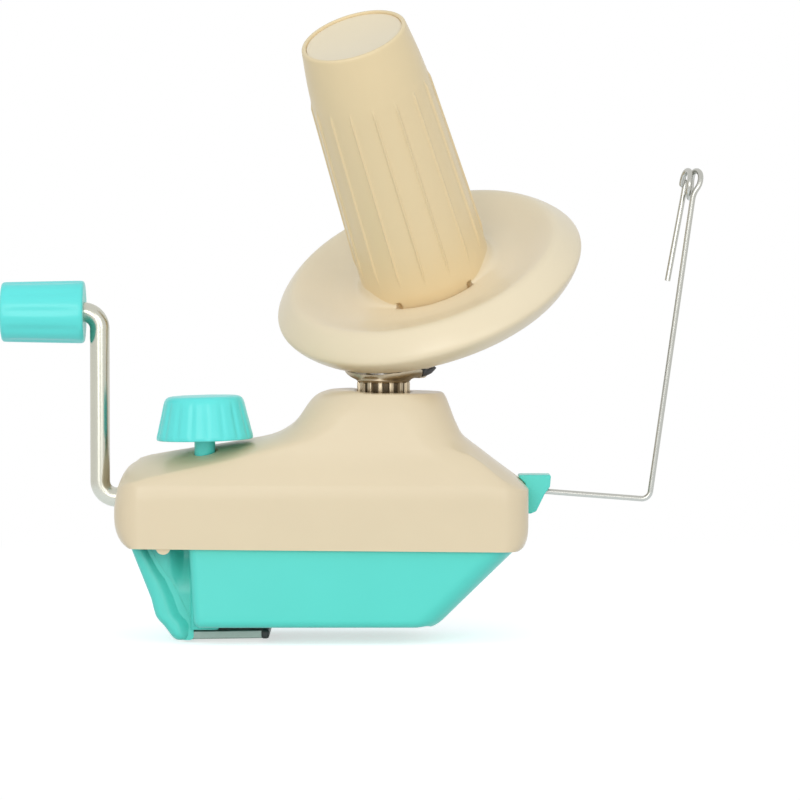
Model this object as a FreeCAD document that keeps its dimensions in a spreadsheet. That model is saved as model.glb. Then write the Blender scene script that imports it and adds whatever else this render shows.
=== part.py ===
import FreeCAD, Part
import math
import os
import re
import Sketcher

# Hand-cranked yarn ball winder, clamped on a table edge.
# Millimetres and degrees. The origin is where the spindle axis meets the face that rests on the table.
# +Z is up along the spindle, +X points from the crank to the yarn guide, the viewer stands on the -Y side.

# Driving dimensions, one named value each
SIZES = {
    # housing, seen from the side
    "left_reach": 82.0,
    "right_reach": 43.7,
    "half_depth": 25.0,
    "corner_radius": 9.0,
    "wall": 2.2,
    "parting_height": 24.0,
    "band_height": 42.5,
    "ridge_height": 57.0,
    "hub_height": 71.0,
    "hub_top_radius": 16.6,
    "hub_neck_radius": 20.4,
    "hub_foot_radius": 22.8,
    "hub_left_neck": 23.9,
    "hub_left_foot": 33.0,
    "hub_right_foot": 24.0,
    "hub_wall": 3.0,
    "slant_rise": 8.2,
    "slant_run": 2.6,
    "arch_radius": 49.5,
    "arch_crest": 53.8,
    "arch_slope": 9.1,
    "right_ramp_x": 24.6,
    "tab_x": 66.0,
    "tab_radius": 2.0,
    # lower housing
    "tub_left": 58.5,
    "tub_left_foot": 57.0,
    "tub_right": 40.7,
    "tub_right_foot": 16.0,
    "tub_half_depth": 23.5,
    "tub_floor": 2.4,
    "tub_corner_radius": 5.0,
    "tub_edge_radius": 1.2,
    "seat_left": 33.0,
    "seat_groove": 0.8,
    "seat_groove_depth": 0.4,
    # housing screws
    "screw_left_x": 38.0,
    "screw_right_x": 11.0,
    "screw_y": 18.2,
    "screw_radius": 1.5,
    "screw_head_radius": 2.9,
    "screw_head_height": 1.8,
    "screw_head_depth": 4.0,
    "screw_post_radius": 4.2,
    "screw_bite": 12.0,
    # spindle train
    "post_radius": 2.0,
    "post_foot": 3.0,
    "spindle_radius": 3.75,
    "running_gap": 0.05,
    "bush_wall": 1.6,
    "bush_flange": 0.3,
    "bush_flange_radius": 7.0,
    "foot_bush_bottom": 8.0,
    "foot_bush_top": 12.5,
    "hub_bush_bottom": 61.5,
    "boss_radius": 7.6,
    "collar_radius": 8.0,
    "collar_root_radius": 6.75,
    "collar_height": 2.9,
    "collar_teeth": 14,
    "pinion_teeth": 12,
    "crown_teeth": 48,
    "drive_module": 0.8,
    "pinion_height": 5.0,
    "drive_backlash": 0.30,
    "spindle_head_radius": 5.4,
    "spindle_head_height": 0.8,
    "clip_thickness": 0.8,
    "clip_reach": 2.2,
    # crank
    "shaft_height": 38.0,
    "rod_radius": 3.0,
    "crank_x": 86.5,
    "crank_radius": 56.5,
    "rod_bend": 5.0,
    "shaft_end": 5.6,
    "rod_tip_x": 115.2,
    "crank_bush_length": 7.0,
    "crank_bush_wall": 1.8,
    "web_x": 21.0,
    "web_thickness": 4.0,
    "crown_face": 3.4,
    "crown_hub_radius": 7.0,
    "crown_hub_length": 5.2,
    "crown_pin_radius": 1.0,
    "crown_rim": 0.5,
    "crown_web": 2.6,
    # grip
    "grip_outer_end": 116.2,
    "grip_inner_end": 91.4,
    "grip_outer_radius": 9.05,
    "grip_inner_radius": 9.5,
    "grip_flutes": 10,
    "grip_flute_depth": 0.55,
    "grip_flute_width": 2.0,
    "grip_recess_radius": 6.5,
    "grip_recess_depth": 3.4,
    # carrier arm and inclined axle
    "spool_tilt": 31.5,
    "carrier_angle": 239.0,
    "apex_height": 149.0,
    "arm_thickness": 1.4,
    "arm_half_width": 10.0,
    "arm_front": 7.0,
    "arm_riser": 9.2,
    "arm_flare": 3.5,
    "arm_flare_rise": 3.6,
    "seat_plate_level": 59.0,
    "seat_plate_reach": 12.0,
    "axle_radius": 3.0,
    "axle_tail_radius": 2.5,
    "axle_top": 4.0,
    "rivet_head_radius": 4.5,
    "rivet_head_height": 1.2,
    # sun gear and ring gear, a bevel pair about the crossing of both axes
    "sun_teeth": 14,
    "ring_teeth": 84,
    "sun_bottom": 78.6,
    "sun_top": 83.0,
    "sun_hub_radius": 4.2,
    "sun_hub_bottom": 77.6,
    "mesh_addendum": 0.55,
    "mesh_dedendum": 0.80,
    "mesh_thickness": 0.36,
    "mesh_flank": 20.0,
    "ring_top_level": 51.9,
    "ring_bottom_level": 56.7,
    # spool
    "flange_radius": 47.9,
    "flange_wall": 2.0,
    "flange_edge_level": 48.7,
    "flange_foot_level": 57.7,
    "flange_edge_rounding": 4.2,
    "foot_level": 49.9,
    "foot_radius": 20.5,
    "shoulder_level": 21.8,
    "shoulder_radius": 18.1,
    "rim_level": 33.8,
    "rim_radius": 16.4,
    "tube_wall": 2.2,
    "spool_hub_radius": 6.5,
    "spool_hub_foot": 58.2,
    "spool_hub_top": 46.0,
    "upper_hub_top": 1.0,
    "upper_hub_foot": 9.0,
    "upper_web_top": 4.0,
    "upper_web_thickness": 2.0,
    "rib_count": 16,
    "rib_height": 0.5,
    "rib_half_width": 0.6,
    "cap_radius": 14.9,
    "cap_ledge": 1.3,
    "cap_depth": 3.8,
    "cap_dish": 1.4,
    "notch_angle": 35.2,
    "notch_half_angle": 36.0,
    "notch_width": 1.3,
    # clamp
    "clamp_x": 54.0,
    "clamp_y": 12.0,
    "clamp_screw_radius": 2.45,
    "clamp_screw_bottom": 7.0,
    "thread_gap": 0.05,
    "stem_radius": 3.15,
    "stem_bottom": 47.3,
    "stem_hole_radius": 4.5,
    "washer_thickness": 0.8,
    "shelf_thickness": 1.5,
    "shelf_boss_radius": 6.6,
    "knob_bottom": 56.2,
    "knob_height": 13.2,
    "knob_bottom_radius": 14.6,
    "knob_top_radius": 11.6,
    "knob_flutes": 18,
    "knob_flute_depth": 0.8,
    "knob_flute_width": 2.2,
    "knob_rounding": 1.6,
    "block_half_x": 6.2,
    "block_half_y": 6.2,
    "block_top": 43.0,
    "guide_gap": 0.3,
    "guide_wall": 1.6,
    "nut_flats": 8.0,
    "nut_height": 4.0,
    "nut_cover": 0.5,
    "jaw_bottom": -4.4,
    "jaw_half_width": 16.0,
    "jaw_top": 23.7,
    "jaw_top_x": 75.3,
    "jaw_knee_x": 67.8,
    "jaw_knee_z": 4.0,
    "jaw_toe_x": 62.0,
    "jaw_heel_x": 57.4,
    "jaw_flange": 6.4,
    "jaw_web_half": 2.0,
    "jaw_rib_y": 10.0,
    "plate_top": -1.2,
    "plate_thickness": 2.4,
    "plate_left": 64.0,
    "plate_right": 35.0,
    "plate_half_width": 14.0,
    "tip_length": 2.6,
    "tip_wall": 0.35,
    "rivet_radius": 1.5,
    "rivet_x": 60.8,
    "rivet_y": 10.5,
    # yarn guide
    "bracket_left": 39.0,
    "bracket_right": 51.0,
    "bracket_top": 45.0,
    "bracket_bottom": 33.0,
    "bracket_half_width": 5.0,
    "bracket_nose_z": 40.0,
    "bracket_screw_x": 36.0,
    "bracket_screw_z": 36.0,
    "wire_radius": 0.85,
    "wire_start_x": 45.6,
    "wire_z": 40.0,
    "wire_droop": 4.4,
    "wire_elbow_x": 81.2,
    "wire_bend": 2.6,
    "eye_x": 93.8,
    "eye_z": 133.35,
    "eye_radius": 4.1,
    "eye_pitch": 2.9,
    "tail_end_x": 86.7,
    "tail_end_y": 1.6,
    "tail_end_z": 104.0,
}

os.makedirs("parts", exist_ok=True)
doc = FreeCAD.newDocument("yarn_ball_winder")
sheet = doc.addObject("Spreadsheet::Sheet", "Sizes")
for row, (alias, number) in enumerate(SIZES.items(), start=1):
    sheet.set("A%d" % row, alias)
    sheet.set("B%d" % row, str(number))
    sheet.setAlias("B%d" % row, alias)
doc.recompute()

NODES = []


def size(alias):
    """A driving dimension's number, as the sheet holds it."""
    return float(sheet.get(alias))


def ref(text):
    """The same expression with every driving dimension read from the sheet."""
    def swap(word):
        return "Sizes." + word.group() if word.group() in SIZES else word.group()

    return re.sub(r"[a-z_]+", swap, text)


def node(thing, name):
    """Name a finished sub-part and put it on the list that is written out."""
    thing.Label = name
    NODES.append(thing)
    return thing


# Sketches and PartDesign features

def new_body(name):
    return doc.addObject("PartDesign::Body", name)


def new_sketch(body, role, lift="0"):
    """A sketch on one of the body's own planes, moved along the plane's normal."""
    number = len(body.Group) + 1
    sketch = body.newObject("Sketcher::SketchObject", "%s_sketch_%d" % (body.Name, number))
    plane = [item for item in body.Origin.OriginFeatures if item.Role == role][0]
    sketch.AttachmentSupport = [(plane, "")]
    sketch.MapMode = "FlatFace"
    sketch.setExpression(".AttachmentOffset.Base.z", ref(lift))
    return sketch


def pin_point(sketch, element, point, across, up):
    for kind, text in (("DistanceX", across), ("DistanceY", up)):
        constraint = sketch.addConstraint(Sketcher.Constraint(kind, element, point, 1.0))
        sketch.setExpression("Constraints[%d]" % constraint, ref(text))


def draw_outline(sketch, corners):
    """A closed outline through corners, each an expression across and one up."""
    first = sketch.GeometryCount
    count = len(corners)
    turn = 2 * math.pi / count
    start = [FreeCAD.Vector(math.cos(turn * i), math.sin(turn * i), 0) for i in range(count)]
    for i in range(count):
        sketch.addGeometry(Part.LineSegment(start[i], start[(i + 1) % count]), False)
    for i in range(count):
        sketch.addConstraint(Sketcher.Constraint("Coincident", first + i, 2, first + (i + 1) % count, 1))
    for i, (across, up) in enumerate(corners):
        pin_point(sketch, first + i, 1, across, up)


def draw_circle(sketch, across, up, radius):
    element = sketch.addGeometry(Part.Circle(FreeCAD.Vector(0, 0, 0), FreeCAD.Vector(0, 0, 1), 1), False)
    pin_point(sketch, element, 3, across, up)
    constraint = sketch.addConstraint(Sketcher.Constraint("Radius", element, 1.0))
    sketch.setExpression("Constraints[%d]" % constraint, ref(radius))


def draw_rounded(sketch, left, right, half, corner):
    """A rectangle about the X axis with rounded corners, as tangent lines and arcs."""
    vector = FreeCAD.Vector
    lines = [((-1, -2), (1, -2)), ((2, -1), (2, 1)), ((1, 2), (-1, 2)), ((-2, 1), (-2, -1))]
    centres = [(1, -1), (1, 1), (-1, 1), (-1, -1)]
    for k in range(4):
        start, end = lines[k]
        sketch.addGeometry(Part.LineSegment(vector(*start, 0), vector(*end, 0)), False)
        circle = Part.Circle(vector(*centres[k], 0), vector(0, 0, 1), 1)
        first = (k - 1) * math.pi / 2
        sketch.addGeometry(Part.ArcOfCircle(circle, first, first + math.pi / 2), False)
    for k in range(4):
        line, arc = 2 * k, 2 * k + 1
        sketch.addConstraint(Sketcher.Constraint("Tangent", line, 2, arc, 1))
        sketch.addConstraint(Sketcher.Constraint("Tangent", arc, 2, (line + 2) % 8, 1))
        sketch.addConstraint(Sketcher.Constraint("Horizontal" if k % 2 == 0 else "Vertical", line))
        constraint = sketch.addConstraint(Sketcher.Constraint("Radius", arc, 1.0))
        sketch.setExpression("Constraints[%d]" % constraint, ref(corner))
    for line, kind, text in (
        (0, "DistanceY", "-(%s)" % half),
        (2, "DistanceX", right),
        (4, "DistanceY", half),
        (6, "DistanceX", left),
    ):
        constraint = sketch.addConstraint(Sketcher.Constraint(kind, line, 1, 1.0))
        sketch.setExpression("Constraints[%d]" % constraint, ref(text))


def draw(sketch, shape):
    """A circle is three expressions, a rounded rectangle is four, an outline is a list of corners."""
    if isinstance(shape[0], str) and len(shape) == 4:
        draw_rounded(sketch, *shape)
    elif isinstance(shape[0], str):
        draw_circle(sketch, *shape)
    else:
        draw_outline(sketch, shape)


def pad(body, role, lift, shape, length):
    sketch = new_sketch(body, role, lift)
    draw(sketch, shape)
    feature = body.newObject("PartDesign::Pad", sketch.Name + "_pad")
    feature.Profile = sketch
    feature.setExpression("Length", ref(length))
    return feature


def pocket(body, role, lift, shape, length):
    """Cut from the sketch along its plane's normal."""
    sketch = new_sketch(body, role, lift)
    draw(sketch, shape)
    feature = body.newObject("PartDesign::Pocket", sketch.Name + "_pocket")
    feature.Profile = sketch
    feature.Reversed = True
    feature.setExpression("Length", ref(length))
    return feature


def revolve(body, shape):
    """Turn an outline of radius and height about the body's Z axis."""
    sketch = new_sketch(body, "XZ_Plane")
    draw(sketch, shape)
    feature = body.newObject("PartDesign::Revolution", sketch.Name + "_turn")
    feature.Profile = sketch
    feature.ReferenceAxis = (sketch, ["V_Axis"])
    feature.Angle = 360
    return feature


def loft(body, role, sections):
    """A straight-sided loft through sections, each a lift and a shape."""
    sketches = []
    for lift, shape in sections:
        sketch = new_sketch(body, role, lift)
        draw(sketch, shape)
        sketches.append(sketch)
    feature = body.newObject("PartDesign::AdditiveLoft", sketches[0].Name + "_loft")
    feature.Profile = sketches[0]
    feature.Sections = sketches[1:]
    feature.Ruled = True
    return feature


def repeat_round(body, feature, count, axis="N_Axis"):
    """Copies of a feature round the Z axis; an upright sketch has that axis as its V_Axis."""
    pattern = body.newObject("PartDesign::PolarPattern", feature.Name + "_ring")
    pattern.Originals = [feature]
    pattern.Axis = (feature.Profile[0], [axis])
    pattern.Angle = 360
    pattern.setExpression("Occurrences", ref(count))
    body.Tip = pattern
    return pattern


def round_edges(body, radius, wanted):
    """Fillet the edges of the body's last feature that the test picks."""
    doc.recompute()
    base = body.Tip
    names = ["Edge%d" % (i + 1) for i, edge in enumerate(base.Shape.Edges) if wanted(edge)]
    feature = body.newObject("PartDesign::Fillet", base.Name + "_rounding")
    feature.Base = (base, names)
    feature.setExpression("Radius", ref(radius))
    return feature


def upright(edge):
    return abs(edge.tangentAt(edge.FirstParameter).z) > 0.9 and edge.Length > 2.0


def circle_at(radius, height, tolerance=0.02):
    """A test for round edges of a turned piece."""
    def matches(edge):
        curve = edge.Curve
        is_round = hasattr(curve, "Radius") and hasattr(curve, "Center")
        if not is_round:
            return False
        return abs(curve.Radius - radius) < tolerance and abs(curve.Center.z - height) < tolerance
    return matches


# Primitives and booleans

def place(thing, across, away, up):
    for axis, text in (("x", across), ("y", away), ("z", up)):
        thing.setExpression(".Placement.Base." + axis, ref(text))


def turn_to(thing, direction):
    """Point a piece's own Z axis along X, Y or Z."""
    turns = {
        "X": (FreeCAD.Vector(0, 1, 0), 90),
        "Y": (FreeCAD.Vector(1, 0, 0), -90),
        "Z": (FreeCAD.Vector(0, 0, 1), 0),
    }
    axis, angle = turns[direction]
    thing.Placement = FreeCAD.Placement(FreeCAD.Vector(0, 0, 0), FreeCAD.Rotation(axis, angle))


def cylinder(name, direction, start, radius, length):
    thing = doc.addObject("Part::Cylinder", name)
    turn_to(thing, direction)
    place(thing, *start)
    thing.setExpression("Radius", ref(radius))
    thing.setExpression("Height", ref(length))
    return thing


def box(name, across, away, up):
    """A box from pairs of expressions: low and high on each axis."""
    thing = doc.addObject("Part::Box", name)
    place(thing, across[0], away[0], up[0])
    for side, (low, high) in (("Length", across), ("Width", away), ("Height", up)):
        thing.setExpression(side, ref("(%s) - (%s)" % (high, low)))
    return thing


def fuse(name, pieces):
    thing = doc.addObject("Part::MultiFuse", name)
    thing.Shapes = pieces
    return thing


def common(name, base, tool):
    thing = doc.addObject("Part::Common", name)
    thing.Base = base
    thing.Tool = tool
    return thing


def cut(name, base, tool):
    thing = doc.addObject("Part::Cut", name)
    thing.Base = base
    thing.Tool = tool
    return thing


def turned(name, shape):
    """A round piece about the spindle axis, from an outline of radius and height."""
    body = new_body(name)
    revolve(body, shape)
    return body


def on_shaft(body):
    """Stand a turned piece's Z axis along the crank shaft, towards +X."""
    turn_to(body, "X")
    place(body, "0", "0", "shaft_height")


def on_carrier(body):
    """Turn a piece so that its X axis points to the side the spool leans to."""
    axis = FreeCAD.Vector(0, 0, 1)
    body.Placement = FreeCAD.Placement(FreeCAD.Vector(0, 0, 0), FreeCAD.Rotation(axis, size("carrier_angle")))


def on_spool(body):
    """Lay a piece's Z axis along the inclined axle, with its origin where the axes cross."""
    about_spindle = FreeCAD.Rotation(FreeCAD.Vector(0, 0, 1), size("carrier_angle"))
    lean = FreeCAD.Rotation(FreeCAD.Vector(0, 1, 0), size("spool_tilt"))
    apex = FreeCAD.Vector(0, 0, size("apex_height"))
    body.Placement = FreeCAD.Placement(apex, about_spindle.multiply(lean))


# Housing

def housing_form(name, inset, top):
    """The upper housing's outer form, or with an inset its cavity: block, arched deck and hub."""
    block = new_body(name + "_block")
    plan = [
        ("-left_reach + %s" % inset, "-half_depth + %s" % inset),
        ("right_reach - %s" % inset, "-half_depth + %s" % inset),
        ("right_reach - %s" % inset, "half_depth - %s" % inset),
        ("-left_reach + %s" % inset, "half_depth - %s" % inset),
    ]
    pad(block, "XY_Plane", "parting_height", plan, "ridge_height - %s - parting_height" % inset)
    round_edges(block, "corner_radius - %s" % inset, upright)
    left_end = [
        ("-left_reach - 1", "shaft_height - 1"),
        ("-left_reach + %s" % inset, "shaft_height - 1"),
        ("-left_reach + 1.8 + %s" % inset, "band_height + 1.5 - 0.4 * %s" % inset),
        ("-left_reach + 6 + 0.4 * %s" % inset, "band_height + 6.8 - %s" % inset),
        ("-left_reach + 6 + 0.4 * %s" % inset, "hub_height"),
        ("-left_reach - 1", "hub_height"),
    ]
    right_end = [
        ("right_reach + 1", "band_height - 1.5"),
        ("right_reach - %s" % inset, "band_height - 1.5"),
        ("right_reach - 2 - %s" % inset, "band_height + 1.7 - 0.4 * %s" % inset),
        ("right_reach - 5 - 0.6 * %s" % inset, "band_height + 3 - 0.8 * %s" % inset),
        ("right_ramp_x - 0.6 * %s" % inset, "ridge_height - 0.8 * %s" % inset),
        ("right_ramp_x - 0.6 * %s" % inset, "hub_height"),
        ("right_reach + 1", "hub_height"),
    ]
    for end in (left_end, right_end):
        pocket(block, "XZ_Plane", "-half_depth", end, "2 * half_depth")
    for side in ("-", ""):
        slant = [
            ("%s(half_depth + 1)" % side, "band_height - 0.4 * %s" % inset),
            ("%s(half_depth - %s)" % (side, inset), "band_height - 0.4 * %s" % inset),
            (
                "%s(half_depth - slant_run - %s)" % (side, inset),
                "band_height + slant_rise - 0.4 * %s" % inset,
            ),
            ("%s(half_depth - 2 * slant_run - %s)" % (side, inset), "ridge_height + 1"),
            ("%s(half_depth + 1)" % side, "ridge_height + 1"),
        ]
        pocket(block, "YZ_Plane", "-left_reach - 1", slant, "left_reach + right_reach + 2")
    arch = doc.addObject("Part::Cylinder", name + "_arch")
    arch.setExpression("Radius", ref("arch_radius - %s" % inset))
    arch.setExpression("Height", ref("2 * left_reach + 2 * right_reach"))
    arch.Placement = FreeCAD.Placement(
        FreeCAD.Vector(0, 0, 0), FreeCAD.Rotation(FreeCAD.Vector(0, 1, 0), 90 - size("arch_slope"))
    )
    arch_x = "-left_reach - clamp_x"
    place(arch, arch_x, "0", "arch_crest - arch_radius / cos(arch_slope) - left_reach * tan(arch_slope)")
    arched = common(name + "_arched", block, arch)
    hub = new_body(name + "_hub")
    sections = []
    for level, share, left, right, half in (
        ("ridge_height - 12", "0", "hub_left_foot + 17", "hub_right_foot + 4", "hub_foot_radius"),
        ("ridge_height + 0.5", "0.3", "hub_left_foot", "hub_right_foot", "hub_neck_radius + 0.3"),
        ("ridge_height + 3.6", "0.4", "hub_left_foot - 5.4", "hub_right_foot - 1.9", "hub_neck_radius - 0.2"),
        ("hub_height - 5.8", "0.6", "hub_left_neck", "hub_neck_radius", "hub_neck_radius - 0.9"),
        ("hub_height - 1.5", "1", "hub_left_neck - 3.6", "hub_top_radius + 2", "hub_top_radius + 1.6"),
        ("hub_height", "1", "hub_top_radius", "hub_top_radius", "hub_top_radius - 0.2"),
    ):
        half_inside = "(%s - %s)" % (half, inset)
        sections.append(("%s - %s * %s" % (level, share, top), (
            "-(%s) + %s" % (left, inset),
            "%s - %s" % (right, inset),
            half_inside,
            half_inside + " - 0.3",
        )))
    loft(hub, "XY_Plane", sections)
    return fuse(name, [arched, hub])


def screw_places():
    """The four housing screws, as expressions across and away."""
    return [(x, y) for x in ("-screw_left_x", "screw_right_x") for y in ("-screw_y", "screw_y")]


def make_upper_housing():
    outer = housing_form("housing_outer", "0", "0")
    inner = housing_form("housing_cavity", "wall", "hub_wall")
    shell = cut("housing_shell", outer, inner)
    inside_y = "half_depth - wall / 2"
    shelf = "stem_bottom - washer_thickness - shelf_thickness"
    lumps = [
        box("shaft_web", ("-web_x", "-web_x + web_thickness"), ("-(%s)" % inside_y, inside_y),
            ("shaft_height - 8", "hub_height")),
        cylinder("crank_boss", "X", ("-left_reach + wall / 2", "0", "shaft_height"),
                 "rod_radius + crank_bush_wall + 2", "crank_bush_length - 0.2"),
        cylinder("hub_boss", "Z", ("0", "0", "hub_bush_bottom"),
                 "spindle_radius + bush_wall + 2.2", "hub_height - hub_bush_bottom"),
        cylinder("shelf_boss", "Z", ("-clamp_x", "-clamp_y", shelf), "shelf_boss_radius", "hub_height / 2"),
    ]
    for i, (x, y) in enumerate(screw_places()):
        foot = (x, y, "parting_height")
        lumps.append(cylinder("screw_boss_%d" % i, "Z", foot, "screw_post_radius", "hub_height"))
    inside = common("housing_bosses", fuse("housing_lumps", lumps), outer)
    tab = cylinder("edge_tab", "Y", ("-tab_x", "-half_depth + 0.6", "parting_height + 0.2"), "tab_radius",
                   "wall - 0.7")
    solid = fuse("housing_solid", [shell, inside, tab])
    holes = [
        cylinder("hub_bore", "Z", ("0", "0", "hub_bush_bottom - 1"), "spindle_radius + bush_wall",
                 "hub_height - hub_bush_bottom + 2"),
        cylinder("crank_bore", "X", ("-left_reach - 1", "0", "shaft_height"), "rod_radius + crank_bush_wall",
                 "crank_bush_length + 5"),
        cylinder("web_bore", "X", ("-web_x - 1", "0", "shaft_height"), "rod_radius + crank_bush_wall",
                 "web_thickness + 2"),
        cylinder("gear_pocket", "X", ("-web_x + web_thickness", "0", "shaft_height"),
                 "drive_module * crown_teeth / 2 + crown_face / 2 + crown_rim + 0.5",
                 "web_x - web_thickness - 1"),
        cylinder("stem_bore", "Z", ("-clamp_x", "-clamp_y", "stem_bottom - washer_thickness"),
                 "stem_hole_radius", "hub_height"),
        cylinder("screw_bore", "Z", ("-clamp_x", "-clamp_y", "parting_height"),
                 "clamp_screw_radius + running_gap * 2", "hub_height / 2"),
        cylinder("bracket_screw_bore", "X", ("bracket_screw_x", "0", "bracket_screw_z"),
                 "screw_radius + running_gap", "right_reach - bracket_screw_x + 2"),
    ]
    for i, (x, y) in enumerate(screw_places()):
        holes.append(cylinder("screw_hole_%d" % i, "Z", (x, y, "parting_height - 1"), "screw_radius",
                              "screw_bite + 2"))
    upper = cut("upper_housing", solid, fuse("housing_holes", holes))
    node(upper, "upper_housing")
    return outer


def make_lower_housing():
    tub = new_body("lower_housing")
    side = [
        ("-tub_left", "parting_height"),
        ("-tub_left_foot", "0"),
        ("tub_right_foot", "0"),
        ("tub_right", "parting_height"),
    ]
    pad(tub, "XZ_Plane", "-tub_half_depth", side, "2 * tub_half_depth")
    doc.recompute()
    right_foot = size("tub_right_foot")
    round_edges(tub, "tub_corner_radius",
                lambda edge: edge.CenterOfMass.x > right_foot and abs(abs(edge.CenterOfMass.y)
                                                                     - size("tub_half_depth")) < 0.1
                and abs(edge.tangentAt(edge.FirstParameter).z) > 0.3)
    foot_y = size("tub_half_depth") - 0.5
    left_foot = 0.5 - size("tub_left_foot")
    round_edges(tub, "tub_edge_radius",
                lambda edge: abs(edge.CenterOfMass.z) < 0.05 and (abs(edge.CenterOfMass.y) > foot_y - 3
                                                                  or edge.CenterOfMass.x < left_foot
                                                                  or edge.CenterOfMass.x > right_foot - 2))
    run = "(tub_right - tub_right_foot) / parting_height"
    inside = [
        ("-tub_left + wall", "parting_height + 1"),
        ("-tub_left_foot + wall", "tub_floor"),
        ("tub_right_foot - wall / 2", "tub_floor"),
        ("tub_right - 1.3 * wall + %s" % run, "parting_height + 1"),
    ]
    pocket(tub, "XZ_Plane", "-tub_half_depth + wall", inside, "2 * tub_half_depth - 2 * wall")
    for x, y in screw_places():
        post = (x, y, "screw_post_radius - 0.6")
        pad(tub, "XY_Plane", "tub_floor / 2", post, "parting_height - tub_floor / 2")
    pad(tub, "XY_Plane", "tub_floor / 2", ("0", "0", "boss_radius"), "foot_bush_top - tub_floor / 2")
    left, right = "-clamp_x - block_half_x - guide_gap", "-clamp_x + block_half_x + guide_gap"
    front, back = "-clamp_y - block_half_y - guide_gap", "-clamp_y + block_half_y + guide_gap"
    pad(tub, "XY_Plane", "tub_floor / 2", [
        ("-tub_left_foot - 0.2", "%s - guide_wall" % front),
        ("%s + guide_wall" % right, "%s - guide_wall" % front),
        ("%s + guide_wall" % right, "%s + guide_wall" % back),
        ("-tub_left_foot - 0.2", "%s + guide_wall" % back),
    ], "parting_height - tub_floor / 2")
    opening = [(left + " - 3", front), (right, front), (right, back), (left + " - 3", back)]
    pocket(tub, "XY_Plane", "-1", opening, "parting_height + 2")
    for x, y in screw_places():
        pocket(tub, "XY_Plane", "-1", (x, y, "screw_head_radius + 0.2"), "screw_head_depth + 1")
        pocket(tub, "XY_Plane", "0", (x, y, "screw_radius + 0.15"), "parting_height + 1")
    pocket(tub, "XY_Plane", "foot_bush_bottom", ("0", "0", "spindle_radius + bush_wall"), "parting_height")
    pocket(tub, "XY_Plane", "post_foot", ("0", "0", "post_radius"), "parting_height")
    pocket(tub, "XY_Plane", "-1", [
        ("-seat_left - seat_groove", "-half_depth"),
        ("-seat_left", "-half_depth"),
        ("-seat_left", "half_depth"),
        ("-seat_left - seat_groove", "half_depth"),
    ], "1 + seat_groove_depth")
    node(tub, "lower_housing")


def make_housing_screws():
    screws = []
    for i, (x, y) in enumerate(screw_places()):
        screw = turned("housing_screw_%d" % i, [
            ("0", "screw_head_depth - screw_head_height"),
            ("screw_head_radius", "screw_head_depth - screw_head_height"),
            ("screw_head_radius", "screw_head_depth"),
            ("screw_radius", "screw_head_depth"),
            ("screw_radius", "parting_height + screw_bite"),
            ("0", "parting_height + screw_bite"),
        ])
        place(screw, x, y, "0")
        screws.append(screw)
    group = doc.addObject("Part::Compound", "housing_screws")
    group.Links = screws
    node(group, "housing_screws")


# Spindle train

def make_fixed_post():
    node(turned("fixed_post", [
        ("0", "post_foot"),
        ("post_radius", "post_foot"),
        ("post_radius", "sun_top + clip_thickness + 1"),
        ("0", "sun_top + clip_thickness + 1"),
    ]), "fixed_post")
    node(turned("sun_gear_clip", [
        ("post_radius", "sun_top"),
        ("post_radius + 1.6", "sun_top"),
        ("post_radius + 1.6", "sun_top + clip_thickness"),
        ("post_radius", "sun_top + clip_thickness"),
    ]), "sun_gear_clip")


def make_bushes():
    bore = "spindle_radius + running_gap"
    seat = "spindle_radius + bush_wall"
    node(turned("foot_bush", [
        (bore, "foot_bush_bottom"),
        (seat, "foot_bush_bottom"),
        (seat, "foot_bush_top"),
        (bore, "foot_bush_top"),
    ]), "foot_bush")
    node(turned("hub_bush", [
        (bore, "hub_bush_bottom"),
        (seat, "hub_bush_bottom"),
        (seat, "hub_height"),
        ("bush_flange_radius", "hub_height"),
        ("bush_flange_radius", "hub_height + bush_flange"),
        (bore, "hub_height + bush_flange"),
    ]), "hub_bush")
    shaft_bore = "rod_radius + running_gap"
    shaft_seat = "rod_radius + crank_bush_wall"
    places = {
        "crank_bush": ("-left_reach + 0.8", "-left_reach + 0.8 + crank_bush_length"),
        "inner_crank_bush": ("-web_x - 0.5", "-web_x + web_thickness + 0.5"),
    }
    for name, (start, end) in places.items():
        bush = turned(name, [(shaft_bore, start), (shaft_seat, start), (shaft_seat, end), (shaft_bore, end)])
        on_shaft(bush)
        node(bush, name)


COLLAR_TOP = "hub_height + bush_flange + collar_height"
ARM_TOP = COLLAR_TOP + " + arm_thickness"


def make_spindle():
    node(turned("hollow_spindle", [
        ("post_radius + running_gap", "foot_bush_bottom + 0.4"),
        ("spindle_radius", "foot_bush_bottom + 0.4"),
        ("spindle_radius", ARM_TOP),
        ("spindle_head_radius", ARM_TOP),
        ("spindle_head_radius", ARM_TOP + " + spindle_head_height"),
        ("post_radius + running_gap", ARM_TOP + " + spindle_head_height"),
    ]), "hollow_spindle")
    clip_top = "hub_bush_bottom - 0.2"
    node(turned("spindle_clip", [
        ("spindle_radius", clip_top + " - clip_thickness"),
        ("spindle_radius + clip_reach", clip_top + " - clip_thickness"),
        ("spindle_radius + clip_reach", clip_top),
        ("spindle_radius", clip_top),
    ]), "spindle_clip")


def spur_tooth(body, lift, root, tip, root_half, tip_half, height, count):
    """Straight teeth round a disc, from half widths at root and tip."""
    tooth = pad(body, "XY_Plane", lift, [
        ("%s - 0.2" % root, "-(%s)" % root_half),
        (tip, "-(%s)" % tip_half),
        (tip, tip_half),
        ("%s - 0.2" % root, root_half),
    ], height)
    return repeat_round(body, tooth, count)


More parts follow.
